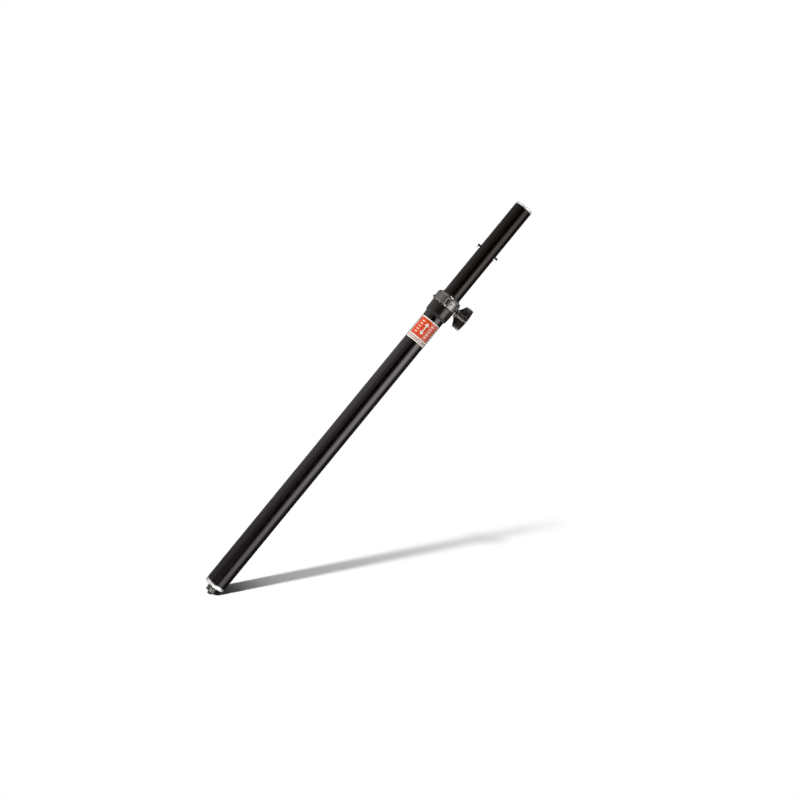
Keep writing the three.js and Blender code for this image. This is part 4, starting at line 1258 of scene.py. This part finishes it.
class POLE_OT_rest_pin(bpy.types.Operator):
    """Make the chrome pin across the upper tube"""

    bl_idname = "speaker_pole.rest_pin"
    bl_label = "Rest Pin"

    def execute(self, context):
        half = PIN[1].x
        groove_at = half - 2.6 * MM
        rows = [(0, -half, 0), (PIN_RADIUS, -half, 0.9 * MM)]
        for way in (-1, 1):
            for offset, depth in ((-0.5, 0), (-0.2, 0.2), (0.2, 0.2), (0.5, 0)):
                rows.append((PIN_RADIUS - depth * MM, way * groove_at + offset * MM, 0.08 * MM))
        rows += [(PIN_RADIUS, half, 0.9 * MM), (0, half, 0)]
        pin = laid(lathe(rows, ROD_SIDES, FINE_STEPS), PIN_HEIGHT, "Y")
        chrome = turned_metal("chrome_plate", "chrome", 0.1, 0, 5000, 0.08, painted_shade_above=PIN_HEIGHT)
        put("rest_pin_chromed", pin, chrome, "upper_section", "rest_pin")
        return {"FINISHED"}


class POLE_OT_glide(bpy.types.Operator):
    """Make the plug, pin and skirt on which the upper tube slides"""

    bl_idname = "speaker_pole.glide"
    bl_label = "Glide"

    def execute(self, context):
        nylon, edge = coat("nylon_guide"), 0.3 * MM
        low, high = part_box("glide_plug")
        spigot = UPPER_RADIUS - context.scene.pole_sizes.upper_wall - SLIDE_GAP
        bore, rim = 9 * MM, UPPER_TUBE[0].z - SLIDE_GAP
        plug = lathe([
            (bore, low.z, edge), (high.x, low.z, 0.8 * MM), (high.x, rim, edge),
            (spigot, rim, 0.1 * MM), (spigot, high.z, 0.8 * MM), (bore, high.z, edge),
        ])
        plug = combined(plug, [cross_hole(GLIDE_PIN_RADIUS, 2, GLIDE_PIN_HEIGHT, "X")])
        put("glide_plug_moulded", plug, nylon, "upper_section", "glide_plug")

        end = GLIDE_PIN[1].y
        pin = laid(band(1.1 * MM, GLIDE_PIN_RADIUS, -end, end, 0.1 * MM, edge, edge, 0.1 * MM), GLIDE_PIN_HEIGHT, "X")
        put("glide_pin_plated", pin, coat("zinc_plate"), "upper_section", "glide_pin")

        low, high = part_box("glide_skirt")
        bore = UPPER_RADIUS + SLIDE_GAP
        skirt = lathe([
            (bore, low.z, 0.15 * MM), (high.x, low.z, 0.2 * MM), (high.x, high.z - 1.2 * MM, 0.2 * MM),
            *beside(bore, high.z, (0.3, 0, 0.1), (0, 0, 0.1)),
        ])
        put("glide_skirt_moulded", skirt, nylon, "glide", "glide_skirt")
        return {"FINISHED"}


# What shiny surfaces see level with them, from the camera's side (0) towards the knob (+), in degrees:
# the soft box stands on the knob's side, and dark screens beside the camera and behind the box
ROUND_THE_POLE = [
    (-180, 0.0), (-165, 0.05), (-150, 0.12), (-140, 0.25), (-130, 0.42), (-118, 0.66), (-93, 0.81), (-66, 0.99),
    (-56, 0.8), (-46, 0.42), (-37, 0.36), (-29, 0.48), (-22, 0.38), (-15, 0.12), (-8, 0.0), (14, 0.0), (21, 0.08),
    (28, 0.7), (36, 2.5), (44, 3.8), (53, 4.1), (63, 3.95), (72, 3.3), (80, 1.9), (88, 0.62), (96, 0.22),
    (104, 0.1), (114, 0.1), (125, 0.08), (140, 0.05), (160, 0.0), (180, 0.0),
]
# How that light grows and falls from the foot's side to the top's
UP_THE_POLE = [
    (-90, 0.5), (-12, 0.5), (-9, 0.62), (-5, 1.0), (0, 1.2), (2, 1.34), (4, 1.28), (6, 1.1), (9, 0.68), (13, 0.5)]
# Round light panels: way to the middle, half width in degrees, and brightness
PANELS = [
    ((0.105, 0, 0.99), 7, 26.0),
    ((0.1, -0.15, -0.98), 8, 18.0),
    ((-0.05, -0.949, -0.311), 8, 0.9),
    ((0.1, -0.84, -0.53), 9, 2.5),
]
# Where a round panel's light starts and where it is full, as shares of its half width
PANEL_EDGE = (1.1, 0.85)
# The brightness that a ramp's 1 stands for in the first two tables
BRIGHTEST = 4.5
# Brightness of the white beyond the soft box and the screens
FRONT_SKY, HIGH_SKY, OVER_CAMERA, BACK_SKY, LOW_BACK = 1.25, 0.3, 0.03, 0.1, 0.9
# How much of the floor's white is its own glow at each distance in metres, so that the shadow fades out
FLOOR_GLOW = [
    (0, 0), (0.022, 0.01), (0.03, 0.022), (0.046, 0.057), (0.054, 0.088), (0.066, 0.134), (0.078, 0.17),
    (0.09, 0.221), (0.102, 0.256), (0.126, 0.319), (0.15, 0.342), (0.175, 0.367), (0.217, 0.401), (0.259, 0.424),
    (0.302, 0.457), (0.345, 0.503), (0.39, 0.535), (0.434, 0.569), (0.48, 0.605), (0.526, 0.648), (0.573, 0.681),
    (0.621, 0.742), (0.67, 0.773), (0.719, 0.857), (0.744, 0.9), (0.77, 0.93), (0.8, 1.0),
]
FLOOR_HALF = 9.0
FLOOR_WHITE = 0.97


def as_stops(table, full):
    return [((angle + full / 2) / full, value / BRIGHTEST) for angle, value in table]


class POLE_OT_stage(bpy.types.Operator):
    """Set the floor, the light and the camera"""

    bl_idname = "speaker_pole.stage"
    bl_label = "Stage"

    def execute(self, context):
        settings = context.scene.pole_stage
        self.right = Vector((math.cos(settings.roll), 0, math.sin(settings.roll)))
        self.up = Vector((-math.sin(settings.roll), 0, math.cos(settings.roll)))
        self.near = Vector((0, -1, 0))
        self.floor(settings)
        self.lamp("key", self.right * -0.155 + self.up * 0.861 + self.near * 0.484, settings.key, 4.5)
        self.lamp("fill", self.near * 0.5 + Vector((0.866, 0, 0)), settings.fill, 9)
        self.world(settings)
        self.camera(context, settings)
        context.scene.view_settings.view_transform = "Standard"
        return {"FINISHED"}

    def floor(self, settings):
        """A pale floor that holds the stud's rim, seen from above only."""
        normal = self.up * math.cos(settings.floor_pitch) + self.near * math.sin(settings.floor_pitch)
        rim = (STUD[1].x - 1.4 * MM) * Vector((normal.x, normal.y)).normalized()
        touch = Vector((-rim.x, -rim.y, STUD[0].z)) + normal * settings.floor_rise
        corners = [(x * FLOOR_HALF, y * FLOOR_HALF, 0) for x, y in ((-1, -1), (1, -1), (1, 1), (-1, 1))]
        mesh = bpy.data.meshes.new("floor")
        mesh.from_pydata(corners, [], [(0, 1, 2, 3)])
        mesh.transform(Matrix.Translation(touch) @ normal.to_track_quat("Z", "Y").to_matrix().to_4x4())
        floor = loose(mesh)
        floor.visible_glossy = False
        material = bpy.data.materials.new("pale_floor")
        nodes = empty_nodes(material)
        matt = nodes.made("ShaderNodeBsdfDiffuse", {0: (*[FLOOR_WHITE] * 3, 1)})
        away = nodes.compared("DISTANCE", nodes.place(), touch, "Value")
        glow = nodes.times(nodes.ramp(away, FLOOR_GLOW), nodes.made("ShaderNodeLightPath"))
        white = nodes.made("ShaderNodeEmission", {0: (1, 1, 1, 1), 1: 1.0})
        pale = nodes.made("ShaderNodeMixShader", {0: glow, 1: matt, 2: white})
        behind = nodes.add("ShaderNodeNewGeometry").outputs["Backfacing"]
        one_sided = {0: behind, 1: pale, 2: nodes.made("ShaderNodeBsdfTransparent")}
        nodes.add("ShaderNodeOutputMaterial", {0: nodes.made("ShaderNodeMixShader", one_sided)})
        mesh.materials.append(material)

    def lamp(self, name, towards, power, angle):
        data = bpy.data.lights.new(name, "SUN")
        data.energy, data.angle = power, math.radians(angle)
        lamp = loose(data)
        lamp.rotation_mode = "QUATERNION"
        lamp.rotation_quaternion = towards.normalized().to_track_quat("Z", "Y")
        lamp.visible_glossy = False

    def world(self, settings):
        """White to the camera. Shiny surfaces see the soft box and screens, and the white beyond."""
        world = bpy.data.worlds.new("studio")
        bpy.context.scene.world = world
        nodes = empty_nodes(world)
        direction = nodes.add("ShaderNodeTexCoord").outputs["Generated"]
        way = nodes.axes(direction)
        round_angle = nodes.math("ARCTAN2", way[0], nodes.times(way[1], -1.0))
        round_place = nodes.plus(nodes.over(round_angle, 2 * math.pi), 0.5)
        up_place = nodes.plus(nodes.over(nodes.math("ARCSINE", way[2]), math.pi), 0.5)
        around = nodes.ramp(round_place, as_stops(ROUND_THE_POLE, 360))
        upwards = nodes.ramp(up_place, as_stops(UP_THE_POLE, 180))
        level_light = nodes.times(around, upwards, BRIGHTEST * BRIGHTEST)
        # From here on angles are in degrees, over 360 round the pole and over 180 up it
        off_front, off_level = nodes.gap(round_place, 0.5), nodes.gap(up_place, 0.5)
        open_sky = nodes.ranged(off_level, 46 / 180, 62 / 180, FRONT_SKY, HIGH_SKY)
        screened = nodes.ranged(off_front, 18 / 360, 40 / 360, OVER_CAMERA, 1.0)
        open_sky = nodes.times(open_sky, nodes.blend(nodes.ranged(up_place, 0.5, 0.56), 1.0, screened))
        back = nodes.ranged(up_place, 0.42, 0.5, LOW_BACK, BACK_SKY)
        sky = nodes.blend(nodes.ranged(off_front, 95 / 360, 130 / 360), open_sky, back)
        level_share = nodes.ranged(off_level, 14 / 180, 25 / 180, 1.0, 0.0)
        seen = nodes.blend(level_share, sky, level_light)
        for middle, half_width, brightness in PANELS:
            off_panel = nodes.compared("DOT_PRODUCT", direction, Vector(middle).normalized(), "Value")
            edge, inside = (math.cos(math.radians(half_width * share)) for share in PANEL_EDGE)
            seen = nodes.plus(seen, nodes.ranged(off_panel, edge, inside, 0.0, brightness))
        path = nodes.add("ShaderNodeLightPath").outputs
        mirrored = nodes.times(path["Is Glossy Ray"], nodes.less(path["Diffuse Depth"], 0.5))
        lit = nodes.blend(mirrored, settings.ambient, seen)
        plain = nodes.math("MAXIMUM", path["Is Camera Ray"], path["Is Transmission Ray"])
        background = nodes.made("ShaderNodeBackground", {0: (1, 1, 1, 1), 1: nodes.blend(plain, lit, 1.0)})
        nodes.add("ShaderNodeOutputWorld", {0: background})

    def camera(self, context, settings):
        data = bpy.data.cameras.new("camera")
        data.lens, data.sensor_width = settings.lens, 36
        camera = loose(data)
        axes = Matrix((self.right, self.up, self.near)).transposed().to_4x4()
        camera.matrix_world = Matrix.Translation(settings.place) @ axes
        context.scene.camera = camera


class POLE_PT_panel(bpy.types.Panel):
    """Lists the pieces of the pole"""

    bl_idname = "POLE_PT_panel"
    bl_label = "Speaker Pole"
    bl_space_type = "VIEW_3D"
    bl_region_type = "UI"
    bl_category = "Speaker Pole"

    def draw(self, context):
        for group in GROUPS:
            settings = getattr(context.scene, group)
            box = self.layout.box()
            for name in settings.__annotations__:
                box.prop(settings, name)
        for operator in OPERATORS:
            self.layout.operator(operator.bl_idname)


GROUPS = {"pole_sizes": PoleSizes, "pole_colours": PoleColours, "pole_stage": StageSettings}
OPERATORS = (
    POLE_OT_stage, POLE_OT_lower_tube, POLE_OT_foot, POLE_OT_threaded_stud, POLE_OT_label, POLE_OT_liner,
    POLE_OT_sleeve, POLE_OT_collar, POLE_OT_clamp_screw, POLE_OT_wing_knob, POLE_OT_upper_tube,
    POLE_OT_top_cap, POLE_OT_rest_pin, POLE_OT_glide,
)
CLASSES = (*GROUPS.values(), *OPERATORS, POLE_PT_panel)


def register():
    for made in CLASSES:
        bpy.utils.register_class(made)
    for name, group in GROUPS.items():
        setattr(bpy.types.Scene, name, bpy.props.PointerProperty(type=group))


def unregister():
    for name in GROUPS:
        delattr(bpy.types.Scene, name)
    for made in reversed(CLASSES):
        bpy.utils.unregister_class(made)


def main():
    register()
    for operator in OPERATORS:
        group, name = operator.bl_idname.split(".")
        getattr(getattr(bpy.ops, group), name)()


if __name__ == "__main__":
    main()
